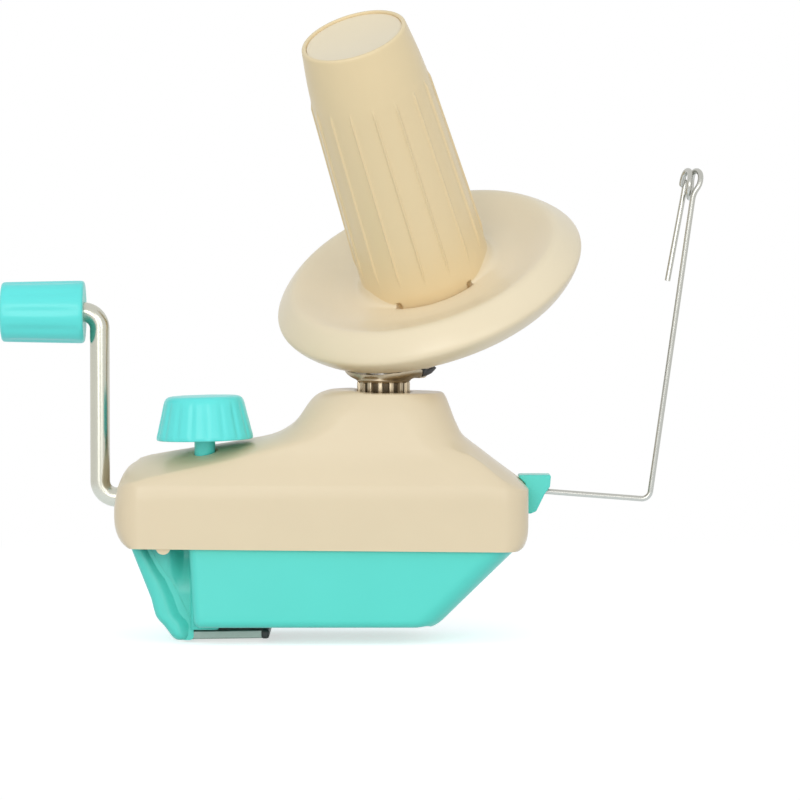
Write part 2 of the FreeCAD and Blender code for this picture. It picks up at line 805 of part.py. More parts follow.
def make_toothed_collar():
    collar = turned("toothed_collar", [
        ("spindle_radius", "hub_height + bush_flange"),
        ("collar_root_radius", "hub_height + bush_flange"),
        ("collar_root_radius", COLLAR_TOP),
        ("spindle_radius", COLLAR_TOP),
    ])
    spur_tooth(collar, "hub_height + bush_flange", "collar_root_radius", "collar_radius",
               "collar_root_radius * 0.13", "collar_radius * 0.075", "collar_height", "collar_teeth")
    node(collar, "toothed_collar")


MESH_HEIGHT = "(shaft_height - drive_module * crown_teeth / 2)"
PINION_PITCH = "(drive_module * pinion_teeth / 2)"


def make_drive_pinion():
    bottom = MESH_HEIGHT + " - pinion_height / 2"
    root = PINION_PITCH + " - 0.95 * drive_module"
    tip = PINION_PITCH + " + 0.8 * drive_module"
    pinion = turned("drive_pinion", [
        ("spindle_radius", bottom),
        (root, bottom),
        (root, bottom + " + pinion_height"),
        ("spindle_radius", bottom + " + pinion_height"),
    ])
    half = "(pi * drive_module / 4 - drive_backlash / 2)"
    spur_tooth(pinion, bottom, root, tip, half + " + 0.34 * drive_module", half + " - 0.36 * drive_module",
               "pinion_height", "pinion_teeth")
    half_pitch = FreeCAD.Rotation(FreeCAD.Vector(0, 0, 1), 180 / size("pinion_teeth"))
    pinion.Placement = FreeCAD.Placement(FreeCAD.Vector(0, 0, 0), half_pitch)
    node(pinion, "drive_pinion")


def make_crown_gear():
    """Face gear on the crank shaft, its teeth pointing to the spindle."""
    pitch = "(drive_module * crown_teeth / 2)"
    inner = pitch + " - crown_face / 2"
    outer = pitch + " + crown_face / 2"
    root_x = "-%s - 0.95 * drive_module" % PINION_PITCH
    tip_x = "-%s + 0.75 * drive_module" % PINION_PITCH
    crown = new_body("crown_gear")
    revolve(crown, [
        ("rod_radius", root_x + " - crown_web"),
        ("rod_radius", root_x + " - crown_web - crown_hub_length"),
        ("crown_hub_radius", root_x + " - crown_web - crown_hub_length"),
        ("crown_hub_radius", root_x + " - crown_web"),
        (outer + " + crown_rim", root_x + " - crown_web"),
        (outer + " + crown_rim", root_x),
        (inner + " - 1", root_x),
        (inner + " - 1", root_x + " - 0.6"),
        ("rod_radius", root_x + " - 0.6"),
    ])
    half = "(pi * drive_module / 4 - drive_backlash / 2)"
    sections = []
    for level, spread in ((root_x + " - 0.3", "0.40"), (tip_x, "-0.34")):
        wide = "(%s + %s * drive_module)" % (half, spread)
        near = "%s * (%s) / %s" % (wide, inner, pitch)
        far = "%s * (%s) / %s" % (wide, outer, pitch)
        sections.append((level, [(inner, "-" + near), (outer, "-" + far), (outer, far), (inner, near)]))
    tooth = loft(crown, "XY_Plane", sections)
    repeat_round(crown, tooth, "crown_teeth")
    pin_x = root_x + " - crown_web - crown_hub_length / 2"
    pin_hole = ("0", pin_x, "crown_pin_radius")
    pocket(crown, "YZ_Plane", "-crown_hub_radius - 1", pin_hole, "2 * crown_hub_radius + 2")
    on_shaft(crown)
    node(crown, "crown_gear")
    pin = new_body("crown_pin")
    pad(pin, "YZ_Plane", "-crown_hub_radius", ("0", pin_x, "crown_pin_radius"), "2 * crown_hub_radius")
    on_shaft(pin)
    node(pin, "crown_pin")
    return pin_x


# Crank

def make_crank_rod(pin_x):
    """Bent rod: shaft along X, arm up along Z and a stub for the grip, with tangent bends."""
    rod = new_body("crank_rod")
    path = new_sketch(rod, "XZ_Plane")
    across = [-size("shaft_end"), -size("crank_x"), -size("rod_tip_x")]
    up = [size("shaft_height"), size("shaft_height") + size("crank_radius")]
    bend = size("rod_bend")

    def point(x, z):
        return FreeCAD.Vector(x, z, 0)

    def straight(start, end):
        path.addGeometry(Part.LineSegment(point(*start), point(*end)), False)

    def elbow(centre, first, last):
        circle = Part.Circle(point(*centre), FreeCAD.Vector(0, 0, 1), bend)
        path.addGeometry(Part.ArcOfCircle(circle, first, last), False)

    straight((across[0], up[0]), (across[1] + bend, up[0]))
    elbow((across[1] + bend, up[0] + bend), math.pi, 1.5 * math.pi)
    straight((across[1], up[0] + bend), (across[1], up[1] - bend))
    elbow((across[1] - bend, up[1] - bend), 0, 0.5 * math.pi)
    straight((across[1] - bend, up[1]), (across[2], up[1]))
    for first, end, second, start in ((0, 2, 1, 2), (1, 1, 2, 1), (2, 2, 3, 1), (3, 2, 4, 1)):
        path.addConstraint(Sketcher.Constraint("Tangent", first, end, second, start))
    path.addConstraint(Sketcher.Constraint("Horizontal", 0))
    path.addConstraint(Sketcher.Constraint("Vertical", 2))
    path.addConstraint(Sketcher.Constraint("Horizontal", 4))
    for arc in (1, 3):
        constraint = path.addConstraint(Sketcher.Constraint("Radius", arc, bend))
        path.setExpression("Constraints[%d]" % constraint, ref("rod_bend"))
    for element, end, kind, number, text in (
        (0, 1, "DistanceX", across[0], "-shaft_end"),
        (0, 1, "DistanceY", up[0], "shaft_height"),
        (2, 1, "DistanceX", across[1], "-crank_x"),
        (4, 2, "DistanceX", across[2], "-rod_tip_x"),
        (4, 2, "DistanceY", up[1], "shaft_height + crank_radius"),
    ):
        constraint = path.addConstraint(Sketcher.Constraint(kind, element, end, number))
        path.setExpression("Constraints[%d]" % constraint, ref(text))
    section = new_sketch(rod, "YZ_Plane", "-shaft_end")
    draw_circle(section, "0", "shaft_height", "rod_radius")
    pipe = rod.newObject("PartDesign::AdditivePipe", "crank_rod_pipe")
    pipe.Profile = section
    pipe.Spine = (path, [])
    pin_hole = ("(%s)" % pin_x, "0", "crown_pin_radius")
    pocket(rod, "XY_Plane", "shaft_height - 2 * rod_radius", pin_hole, "4 * rod_radius")
    node(rod, "crank_rod")


def make_crank_clips():
    start = "-left_reach + crank_bush_length + 1"
    clip = turned("crank_clip", [
        ("rod_radius", start),
        ("rod_radius + clip_reach", start),
        ("rod_radius + clip_reach", start + " + clip_thickness"),
        ("rod_radius", start + " + clip_thickness"),
    ])
    on_shaft(clip)
    node(clip, "crank_clip")
    end = "-rod_tip_x + 0.6"
    stop = turned("grip_clip", [
        ("rod_radius", end),
        ("rod_radius + clip_reach", end),
        ("rod_radius + clip_reach", end + " + clip_thickness"),
        ("rod_radius", end + " + clip_thickness"),
    ])
    turn_to(stop, "X")
    place(stop, "0", "0", "shaft_height + crank_radius")
    node(stop, "grip_clip")


def make_grip():
    grip = new_body("handle_grip")
    revolve(grip, [
        ("rod_radius + running_gap", "-grip_outer_end + grip_recess_depth"),
        ("grip_recess_radius", "-grip_outer_end + grip_recess_depth"),
        ("grip_recess_radius", "-grip_outer_end"),
        ("grip_outer_radius", "-grip_outer_end"),
        ("grip_inner_radius", "-grip_inner_end"),
        ("rod_radius + running_gap", "-grip_inner_end"),
    ])
    outer, inner = -size("grip_outer_end"), -size("grip_inner_end")
    ends = (circle_at(size("grip_outer_radius"), outer), circle_at(size("grip_inner_radius"), inner))
    round_edges(grip, "grip_flute_depth * 1.4", lambda edge: any(test(edge) for test in ends))
    flute = pocket(grip, "XY_Plane", "-grip_outer_end + 1.2", [
        ("grip_outer_radius - grip_flute_depth", "0"),
        ("grip_inner_radius + 1", "-grip_flute_width"),
        ("grip_inner_radius + 1", "grip_flute_width"),
    ], "grip_outer_end - grip_inner_end - 2.4")
    repeat_round(grip, flute, "grip_flutes")
    turn_to(grip, "X")
    place(grip, "0", "0", "shaft_height + crank_radius")
    node(grip, "handle_grip")


# Carrier arm, axle and gears that turn the spool

def make_carrier_arm():
    arm = new_body("arm_blank")
    bottom = COLLAR_TOP
    inner_u = "(-arm_riser)"
    outer_u = "(-arm_riser - arm_thickness)"
    plate_top = "seat_plate_level"
    plate_under = "(seat_plate_level + arm_thickness)"
    profile = [
        ("arm_front", bottom),
        ("arm_front", ARM_TOP),
        (inner_u, ARM_TOP),
        (inner_u, "apex_height - %s / cos(spool_tilt) - %s * tan(spool_tilt)" % (plate_top, inner_u)),
    ]
    for level in (plate_top, plate_under):
        profile.append((
            "-%s * sin(spool_tilt) - seat_plate_reach * cos(spool_tilt)" % level,
            "apex_height - %s * cos(spool_tilt) + seat_plate_reach * sin(spool_tilt)" % level,
        ))
    slant = "apex_height - %s / cos(spool_tilt) - %s * tan(spool_tilt)"
    profile.append((outer_u, slant % (plate_under, outer_u)))
    profile.append((outer_u, bottom))
    pad(arm, "XZ_Plane", "-arm_half_width", profile, "2 * arm_half_width")
    reach = size("arm_front")

    def corner(edge):
        middle = edge.CenterOfMass
        short = edge.Length < 1.2 * size("arm_thickness")
        at_side = abs(abs(middle.y) - size("arm_half_width")) < 0.1
        return short and at_side and (middle.x > reach - 0.2 or middle.z > size("apex_height") - 55)

    round_edges(arm, "arm_half_width * 0.7", corner)
    for side in ("", "-"):
        pad(arm, "YZ_Plane", "%s" % outer_u, [
            ("%s(arm_half_width - arm_thickness)" % side, bottom),
            ("%s(arm_half_width)" % side, bottom),
            ("%s(arm_half_width + arm_flare)" % side, bottom + " + arm_flare_rise"),
            ("%s(arm_half_width + arm_flare - arm_thickness)" % side, bottom + " + arm_flare_rise + 0.4"),
            ("%s(arm_half_width - arm_thickness)" % side, ARM_TOP),
        ], "arm_riser + arm_thickness + 1")
    pocket(arm, "XY_Plane", "hub_height", ("0", "0", "spindle_radius"), "apex_height - hub_height - 60")
    on_carrier(arm)
    hole = new_body("axle_hole")
    drill = ("0", "0", "axle_tail_radius")
    pad(hole, "XY_Plane", "-seat_plate_level - 2 * arm_thickness", drill, "4 * arm_thickness")
    on_spool(hole)
    node(cut("carrier_arm_cut", arm, hole), "carrier_arm")


def make_axle():
    axle = turned("inclined_axle", [
        ("0", "-seat_plate_level - arm_thickness - rivet_head_height"),
        ("rivet_head_radius", "-seat_plate_level - arm_thickness - rivet_head_height"),
        ("rivet_head_radius", "-seat_plate_level - arm_thickness"),
        ("axle_tail_radius", "-seat_plate_level - arm_thickness"),
        ("axle_tail_radius", "-seat_plate_level"),
        ("axle_radius", "-seat_plate_level"),
        ("axle_radius", "axle_top"),
        ("0", "axle_top"),
    ])
    on_spool(axle)
    node(axle, "inclined_axle")
    washer = turned("axle_washer", [
        ("axle_radius", "-seat_plate_level"),
        ("spool_hub_radius - 0.5", "-seat_plate_level"),
        ("spool_hub_radius - 0.5", "-spool_hub_foot - 0.1"),
        ("axle_radius", "-spool_hub_foot - 0.1"),
    ])
    on_spool(washer)
    node(washer, "axle_washer")
    clip = turned("axle_clip", [
        ("axle_radius", "-upper_hub_top + 0.2"),
        ("axle_radius + clip_reach", "-upper_hub_top + 0.2"),
        ("axle_radius + clip_reach", "-upper_hub_top + 0.2 + clip_thickness"),
        ("axle_radius", "-upper_hub_top + 0.2 + clip_thickness"),
    ])
    on_spool(clip)
    node(clip, "axle_clip")


# Both pitch cones share the point where the axes cross, and their sines stand as the teeth do.
SUN_CONE = "(atan(sin(spool_tilt) / (ring_teeth / sun_teeth - cos(spool_tilt))) / 1 deg)"
RING_CONE = "(%s + spool_tilt)" % SUN_CONE
SUN_MIDDLE = "(apex_height - (sun_bottom + sun_top) / 2)"
MESH_MODULE = "(2 * %s * tan(%s) / sun_teeth)" % (SUN_MIDDLE, SUN_CONE)
SLANT = "(%s / cos(%s))" % (SUN_MIDDLE, SUN_CONE)


def cone_angle(cone, depth, sign):
    """A cone that lies a share of the module inside or outside the pitch cone, in degrees."""
    return "(%s %s %s * %s / %s * 180 / pi)" % (cone, sign, depth, MESH_MODULE, SLANT)


def bevel_tooth(body, levels, root_angle, tip_angle, sink):
    """Teeth that shrink towards the crossing point, lofted between two levels below it."""
    half = "(mesh_thickness * pi * %s / 2 / %s)" % (MESH_MODULE, SLANT)
    slope = "tan(mesh_flank)"
    sections = []
    for level in levels:
        distance = "(%s / cos(%s))" % (level, RING_CONE if body.Name.startswith("spool") else SUN_CONE)
        root = "%s * tan(%s)" % (level, root_angle)
        tip = "%s * tan(%s)" % (level, tip_angle)
        root_half = "%s * (%s + mesh_dedendum * %s / %s * %s)" % (distance, half, MESH_MODULE, SLANT, slope)
        tip_half = "%s * (%s - mesh_addendum * %s / %s * %s)" % (distance, half, MESH_MODULE, SLANT, slope)
        sections.append(("-(%s)" % level, [
            ("%s %s 0.3" % (root, sink), "-(%s)" % root_half),
            (tip, "-(%s)" % tip_half),
            (tip, tip_half),
            ("%s %s 0.3" % (root, sink), root_half),
        ]))
    return loft(body, "XY_Plane", sections)


def make_sun_gear():
    low, high = "(apex_height - sun_bottom)", "(apex_height - sun_top)"
    root_angle = cone_angle(SUN_CONE, "mesh_dedendum", "-")
    tip_angle = cone_angle(SUN_CONE, "mesh_addendum", "+")
    sun = turned("sun_gear", [
        ("post_radius", "-(apex_height - sun_hub_bottom)"),
        ("sun_hub_radius", "-(apex_height - sun_hub_bottom)"),
        ("sun_hub_radius", "-" + low),
        ("%s * tan(%s)" % (low, root_angle), "-" + low),
        ("%s * tan(%s)" % (high, root_angle), "-" + high),
        ("post_radius", "-" + high),
    ])
    tooth = bevel_tooth(sun, (low, high), root_angle, tip_angle, "-")
    repeat_round(sun, tooth, "sun_teeth")
    turn = FreeCAD.Rotation(FreeCAD.Vector(0, 0, 1), size("carrier_angle") + 180 / size("sun_teeth"))
    sun.Placement = FreeCAD.Placement(FreeCAD.Vector(0, 0, size("apex_height")), turn)
    node(sun, "sun_gear")


def make_ring_gear():
    root_angle = cone_angle(RING_CONE, "mesh_dedendum", "+")
    tip_angle = cone_angle(RING_CONE, "mesh_addendum", "-")
    outer = "flange_radius - flange_wall"
    ring = turned("spool_ring_gear", [
        ("ring_top_level * tan(%s)" % root_angle, "-ring_top_level"),
        (outer, "-ring_top_level"),
        (outer, "-ring_bottom_level"),
        ("ring_bottom_level * tan(%s)" % root_angle, "-ring_bottom_level"),
    ])
    levels = ("(ring_bottom_level - 0.3)", "(ring_top_level + 0.7)")
    tooth = bevel_tooth(ring, levels, root_angle, tip_angle, "+")
    repeat_round(ring, tooth, "ring_teeth")
    on_spool(ring)
    node(ring, "spool_ring_gear")


# Spool

def make_spool_tube():
    tube = new_body("spool_tube")
    taper = "(foot_radius - shoulder_radius) / (foot_level + shoulder_level)"
    bore = "axle_radius + running_gap"

    def inner_radius(level):
        return "foot_radius - tube_wall - (foot_level + (%s)) * %s" % (level, taper)

    revolve(tube, [
        ("foot_radius", "-foot_level"),
        ("shoulder_radius", "shoulder_level"),
        ("rim_radius", "rim_level"),
        ("cap_radius", "rim_level"),
        ("cap_radius", "rim_level - cap_depth"),
        ("cap_radius - cap_ledge", "rim_level - cap_depth"),
        ("cap_radius - cap_ledge", "rim_level - cap_depth - 1.2"),
        (inner_radius("shoulder_level"), "shoulder_level"),
        (inner_radius("-upper_web_top"), "-upper_web_top"),
        ("spool_hub_radius", "-upper_web_top"),
        ("spool_hub_radius", "-upper_hub_top"),
        (bore, "-upper_hub_top"),
        (bore, "-upper_hub_foot"),
        ("spool_hub_radius", "-upper_hub_foot"),
        ("spool_hub_radius", "-upper_web_top - upper_web_thickness"),
        (inner_radius("-upper_web_top - upper_web_thickness"), "-upper_web_top - upper_web_thickness"),
        ("foot_radius - tube_wall", "-foot_level"),
    ])
    rim = circle_at(size("rim_radius"), size("rim_level"))
    shoulder = circle_at(size("shoulder_radius"), size("shoulder_level"))
    round_edges(tube, "tube_wall * 0.6", rim)
    round_edges(tube, "tube_wall * 5", shoulder)
    rib_top = "shoulder_level - 5"
    rib_foot = "-foot_level + 4"

    def outer_radius(level):
        return "foot_radius - (foot_level + (%s)) * %s" % (level, taper)

    rib = pad(tube, "XZ_Plane", "-rib_half_width", [
        (outer_radius(rib_foot) + " - 1.1", rib_foot),
        (outer_radius(rib_foot) + " + rib_height", rib_foot + " + rib_height"),
        (outer_radius(rib_top) + " + rib_height", rib_top + " - rib_height"),
        (outer_radius(rib_top) + " - 1.1", rib_top),
    ], "2 * rib_half_width")
    repeat_round(tube, rib, "rib_count", "V_Axis")
    on_spool(tube)
    node(tube, "spool_tube")


def make_spool_flange():
    flange = new_body("flange_blank")
    bore = "axle_radius + running_gap"
    spigot = "foot_radius - tube_wall - 0.1"
    revolve(flange, [
        ("foot_radius", "-foot_level"),
        ("flange_radius - flange_edge_rounding", "-flange_edge_level"),
        ("flange_radius", "-flange_edge_level"),
        ("flange_radius", "-flange_foot_level"),
        ("flange_radius - flange_wall", "-flange_foot_level"),
        ("flange_radius - flange_wall", "-ring_top_level"),
        ("spool_hub_radius", "-ring_top_level"),
        ("spool_hub_radius", "-spool_hub_foot"),
        (bore, "-spool_hub_foot"),
        (bore, "-spool_hub_top"),
        ("spool_hub_radius", "-spool_hub_top"),
        ("spool_hub_radius", "-foot_level"),
        (spigot + " - 1.6", "-foot_level"),
        (spigot + " - 1.6", "-foot_level + 3"),
        (spigot, "-foot_level + 3"),
        (spigot, "-foot_level"),
    ])
    edge = circle_at(size("flange_radius"), -size("flange_edge_level"))
    round_edges(flange, "flange_edge_rounding * 0.95", edge)
    on_spool(flange)
    turn = FreeCAD.Rotation(FreeCAD.Vector(0, 0, 1), size("notch_angle"))
    notch = doc.addObject("Part::Feature", "yarn_end_notch")
    ring = Part.makeCylinder(size("foot_radius") + size("notch_width"), 2.4, FreeCAD.Vector(0, 0, 0),
                             FreeCAD.Vector(0, 0, 1), 2 * size("notch_half_angle"))
    core = Part.makeCylinder(size("foot_radius") - 0.6, 2.4)
    notch.Shape = ring.cut(core)
    on_spool(notch)
    start = FreeCAD.Placement(FreeCAD.Vector(0, 0, -size("foot_level") - 1.2), turn.multiply(
        FreeCAD.Rotation(FreeCAD.Vector(0, 0, 1), -size("notch_half_angle"))))
    notch.Placement = notch.Placement.multiply(start)
    node(cut("spool_flange_cut", flange, notch), "spool_flange")


def make_spool_cap():
    cap = turned("spool_cap", [
        ("0", "rim_level - cap_dish - 2"),
        ("0", "rim_level - cap_dish - 0.6"),
        ("cap_radius - 3", "rim_level - 0.9"),
        ("cap_radius - 0.05", "rim_level - 0.6"),
        ("cap_radius - 0.05", "rim_level - cap_depth"),
        ("cap_radius - cap_ledge - 0.1", "rim_level - cap_depth"),
        ("cap_radius - cap_ledge - 0.1", "rim_level - cap_depth - 1.8"),
        ("cap_radius - cap_ledge - 1.4", "rim_level - cap_depth - 1.8"),
        ("cap_radius - cap_ledge - 1.4", "rim_level - cap_dish - 2"),
    ])
    on_spool(cap)
    node(cap, "spool_cap")


# Clamp

def make_clamp_knob():
    knob = new_body("clamp_knob")
    revolve(knob, [
        ("clamp_screw_radius", "stem_bottom"),
        ("stem_radius", "stem_bottom"),
        ("stem_radius", "knob_bottom + 1.6"),
        ("knob_bottom_radius - 2", "knob_bottom + 1.6"),
        ("knob_bottom_radius - 2", "knob_bottom"),
        ("knob_bottom_radius", "knob_bottom"),
        ("knob_top_radius", "knob_bottom + knob_height"),
        ("0", "knob_bottom + knob_height"),
        ("0", "knob_bottom + 6"),
        ("clamp_screw_radius", "knob_bottom + 6"),
    ])
    top = circle_at(size("knob_top_radius"), size("knob_bottom") + size("knob_height"))
    round_edges(knob, "knob_rounding", top)
    lean = "(knob_bottom_radius - knob_top_radius) / knob_height"
    flute = new_sketch(knob, "XY_Plane", "knob_bottom - 1")
    outer = "knob_bottom_radius + %s" % lean
    draw(flute, [(outer + " - knob_flute_depth", "0"), (outer + " + 1", "-knob_flute_width / 2 - 0.4"),
                 (outer + " + 1", "knob_flute_width / 2 + 0.4")])
    flute_top = new_sketch(knob, "XY_Plane", "knob_bottom + knob_height - knob_rounding")
    inner = "knob_top_radius + knob_rounding * %s" % lean
    draw(flute_top, [(inner + " - knob_flute_depth", "0"), (inner + " + 1", "-knob_flute_width / 2 - 0.4"),
                     (inner + " + 1", "knob_flute_width / 2 + 0.4")])
    groove = knob.newObject("PartDesign::SubtractiveLoft", "clamp_knob_flute")
    groove.Profile = flute
    groove.Sections = [flute_top]
    groove.Ruled = True
    repeat_round(knob, groove, "knob_flutes")
    place(knob, "-clamp_x", "-clamp_y", "0")
    node(knob, "clamp_knob")


def make_clamp_screw():
    screw = turned("clamp_screw", [
        ("0", "clamp_screw_bottom"),
        ("clamp_screw_radius", "clamp_screw_bottom"),
        ("clamp_screw_radius", "knob_bottom + 6"),
        ("0", "knob_bottom + 6"),
    ])
    place(screw, "-clamp_x", "-clamp_y", "0")
    node(screw, "clamp_screw")
    washer = turned("thrust_washer", [
        ("clamp_screw_radius", "stem_bottom - washer_thickness"),
        ("stem_hole_radius - 0.4", "stem_bottom - washer_thickness"),
        ("stem_hole_radius - 0.4", "stem_bottom"),
        ("clamp_screw_radius", "stem_bottom"),
    ])
    place(washer, "-clamp_x", "-clamp_y", "0")
    node(washer, "thrust_washer")
    clip_top = "stem_bottom - washer_thickness - shelf_thickness - 0.1"
    clip = turned("screw_clip", [
        ("clamp_screw_radius", clip_top + " - clip_thickness"),
        ("clamp_screw_radius + clip_reach", clip_top + " - clip_thickness"),
        ("clamp_screw_radius + clip_reach", clip_top),
        ("clamp_screw_radius", clip_top),
    ])
    place(clip, "-clamp_x", "-clamp_y", "0")
    node(clip, "screw_clip")


NUT_TOP = "block_top - nut_cover"


def hexagon(flats):
    """Corners of a hexagon round the origin, from its width across flats."""
    corner = "(%s) / 2 / cos(30)" % flats
    return [("%s * cos(%d)" % (corner, 60 * i), "%s * sin(%d)" % (corner, 60 * i)) for i in range(6)]


def make_clamp_nut():
    nut = new_body("clamp_nut")
    pad(nut, "XY_Plane", NUT_TOP + " - nut_height", hexagon("nut_flats"), "nut_height")
    pocket(nut, "XY_Plane", NUT_TOP + " - nut_height - 1", ("0", "0", "clamp_screw_radius + thread_gap"),
           "nut_height + 2")
    place(nut, "-clamp_x", "-clamp_y", "0")
    node(nut, "clamp_nut")


def make_clamp_jaw():
    jaw = new_body("clamp_jaw")
    crease_foot = "(jaw_heel_x + 0.2)"
    flange = [
        ("-jaw_top_x", "jaw_top"),
        ("-jaw_knee_x", "jaw_knee_z"),
        ("-jaw_toe_x", "jaw_bottom"),
        ("-jaw_heel_x", "jaw_bottom"),
        ("-" + crease_foot, "0.2"),
        ("-jaw_top_x + jaw_flange", "jaw_top"),
    ]
    pad(jaw, "XZ_Plane", "-jaw_half_width", flange, "2 * jaw_half_width")
    web = [
        ("-jaw_top_x + jaw_flange - 1", "jaw_top"),
        ("-%s - 1" % crease_foot, "0.2"),
        ("-clamp_x", "0.2"),
        ("-clamp_x", "jaw_top"),
    ]
    pad(jaw, "XZ_Plane", "clamp_y - jaw_web_half", web, "2 * jaw_web_half")
    rib = [
        ("-jaw_top_x + jaw_flange - 1", "jaw_top"),
        ("-%s - 1" % crease_foot, "0.2"),
        ("-tub_left - 0.6", "0.2"),
        ("-tub_left - 0.6", "jaw_top"),
    ]
    pad(jaw, "XZ_Plane", "-jaw_rib_y - jaw_web_half", rib, "2 * jaw_web_half")
    left, right = "-clamp_x - block_half_x", "-clamp_x + block_half_x"
    front, back = "-clamp_y - block_half_y", "-clamp_y + block_half_y"
    pad(jaw, "XY_Plane", "plate_top", [(left, front), (right, front), (right, back), (left, back)],
        "block_top - plate_top")
    plate = [
        ("-plate_left", "-plate_half_width"),
        ("-plate_right", "-plate_half_width"),
        ("-plate_right", "plate_half_width"),
        ("-plate_left", "plate_half_width"),
    ]
    pocket(jaw, "XY_Plane", "plate_top - plate_thickness", plate, "plate_thickness")
    for side in ("-", ""):
        pocket(jaw, "XY_Plane", "jaw_bottom - 1", ("-rivet_x", side + "rivet_y", "rivet_radius"),
               "plate_top + rivet_radius * 2 - jaw_bottom + 1")
    moved_nut = [("-clamp_x + " + x, "-clamp_y + " + y) for x, y in hexagon("nut_flats")]
    pocket(jaw, "XY_Plane", NUT_TOP + " - nut_height", moved_nut, "nut_height + nut_cover + 1")
    bore = ("-clamp_x", "-clamp_y", "clamp_screw_radius + 0.35")
    pocket(jaw, "XY_Plane", "plate_top + 2", bore, "block_top")
    node(jaw, "clamp_jaw")


def make_jaw_plate():
    plate = new_body("jaw_plate")
    pad(plate, "XY_Plane", "plate_top - plate_thickness", [
        ("-plate_left", "-plate_half_width"),
        ("-plate_right", "-plate_half_width"),
        ("-plate_right", "plate_half_width"),
        ("-plate_left", "plate_half_width"),
    ], "plate_thickness")
    right = -size("plate_right")
    round_edges(plate, "plate_thickness", lambda edge: upright(edge) and edge.CenterOfMass.x > right - 1)
    for side in ("-", ""):
        pocket(plate, "XY_Plane", "jaw_bottom", ("-rivet_x", side + "rivet_y", "rivet_radius"), "8")
    node(plate, "jaw_plate")
    outline = [
        ("-plate_right - tip_length", "-plate_half_width - tip_wall"),
        ("-plate_right + tip_wall", "-plate_half_width - tip_wall"),
        ("-plate_right + tip_wall", "plate_half_width + tip_wall"),
        ("-plate_right - tip_length", "plate_half_width + tip_wall"),
    ]
    tip = new_body("plate_tip_block")
    pad(tip, "XY_Plane", "plate_top - plate_thickness - tip_wall", outline, "plate_thickness + 2 * tip_wall")

    def at_end(edge):
        return upright(edge) and edge.CenterOfMass.x > right - 1

    round_edges(tip, "plate_thickness + tip_wall", at_end)
    node(cut("plate_tip", tip, plate), "plate_tip")


def make_jaw_rivets():
    rivets = []
    for i, side in enumerate(("-", "")):
        rivet = turned("jaw_rivet_%d" % i, [
            ("0", "jaw_bottom"),
            ("rivet_radius", "jaw_bottom"),
            ("rivet_radius", "plate_top + rivet_radius * 2"),
            ("0", "plate_top + rivet_radius * 2"),
        ])
        place(rivet, "-rivet_x", side + "rivet_y", "0")
        rivets.append(rivet)
    group = doc.addObject("Part::Compound", "jaw_rivets")
    group.Links = rivets
    node(group, "jaw_rivets")


# Yarn guide

def make_guide_bracket(outer):
    nose = new_body("bracket_nose")
    pad(nose, "XZ_Plane", "-bracket_half_width", [
        ("bracket_left", "bracket_top"),
        ("bracket_left", "bracket_bottom"),
        ("bracket_right - 6", "bracket_bottom"),
        ("bracket_right - 4.4", "bracket_bottom + 0.8"),
        ("bracket_right - 2", "bracket_nose_z - 2.6"),
        ("bracket_right - 0.3", "bracket_nose_z"),
        ("bracket_right", "bracket_top - 1.6"),
        ("bracket_right - 1.2", "bracket_top"),
    ], "2 * bracket_half_width")
    bored = cylinder("wire_socket", "X", ("wire_start_x - 0.4", "0", "wire_z"), "wire_radius + running_gap",
                     "bracket_right - wire_start_x + 4")
    about = FreeCAD.Rotation(FreeCAD.Vector(0, 1, 0), 90 + size("wire_droop"))
    bored.Placement = FreeCAD.Placement(FreeCAD.Vector(0, 0, 0), about)
    slope = "tan(wire_droop)"
    place(bored, "wire_start_x - 0.4", "0", "wire_z + 0.4 * %s" % slope)
    drill = ("right_reach - 5", "0", "bracket_screw_z")
    screw_hole = cylinder("bracket_hole", "X", drill, "screw_radius", "6.5")
    outside = cut("bracket_outside", nose, outer)
    node(cut("bracket_bored", outside, fuse("bracket_holes", [bored, screw_hole])), "guide_bracket")
    screw = turned("bracket_screw", [
        ("0", "right_reach - wall - screw_head_height"),
        ("screw_head_radius", "right_reach - wall - screw_head_height"),
        ("screw_head_radius", "right_reach - wall"),
        ("screw_radius", "right_reach - wall"),
        ("screw_radius", "right_reach + 1.4"),
        ("0", "right_reach + 1.4"),
    ])
    turn_to(screw, "X")
    place(screw, "0", "0", "bracket_screw_z")
    node(screw, "bracket_screw")


def rounded_path(points, radii):
    """Straight runs through the points, joined by tangent arcs at the inner ones."""
    edges = []
    start = points[0]
    for before, corner, after, radius in zip(points, points[1:], points[2:], radii):
        back = (before - corner).normalize()
        ahead = (after - corner).normalize()
        half = (math.pi - back.getAngle(ahead)) / 2
        reach = radius * math.tan(half)
        first = corner + back * reach
        last = corner + ahead * reach
        inward = (back + ahead).normalize()
        middle = corner + inward * (radius / math.cos(half) - radius)
        edges.append(Part.LineSegment(start, first).toShape())
        edges.append(Part.Arc(first, middle, last).toShape())
        start = last
    edges.append(Part.LineSegment(start, points[-1]).toShape())
    return edges


# The eye's centre line: across in pitches, then depth and height in radii, from the neck to the tail
EYE_TURNS = [
    (0.00, -1.00, -1.16), (0.72, -1.00, 0.00), (0.86, -0.70, 0.72), (0.52, 0.00, 1.00),
    (0.20, 0.75, 0.70), (0.10, 1.00, 0.00), (0.00, 0.70, -0.72), (-0.17, 0.00, -1.00),
    (-0.38, -0.70, -0.72), (-0.31, -0.95, 0.00), (-0.28, 0.00, 1.00), (-0.70, 0.72, 0.70),
    (-0.86, 1.00, 0.00), (-0.78, 1.00, -0.95),
]


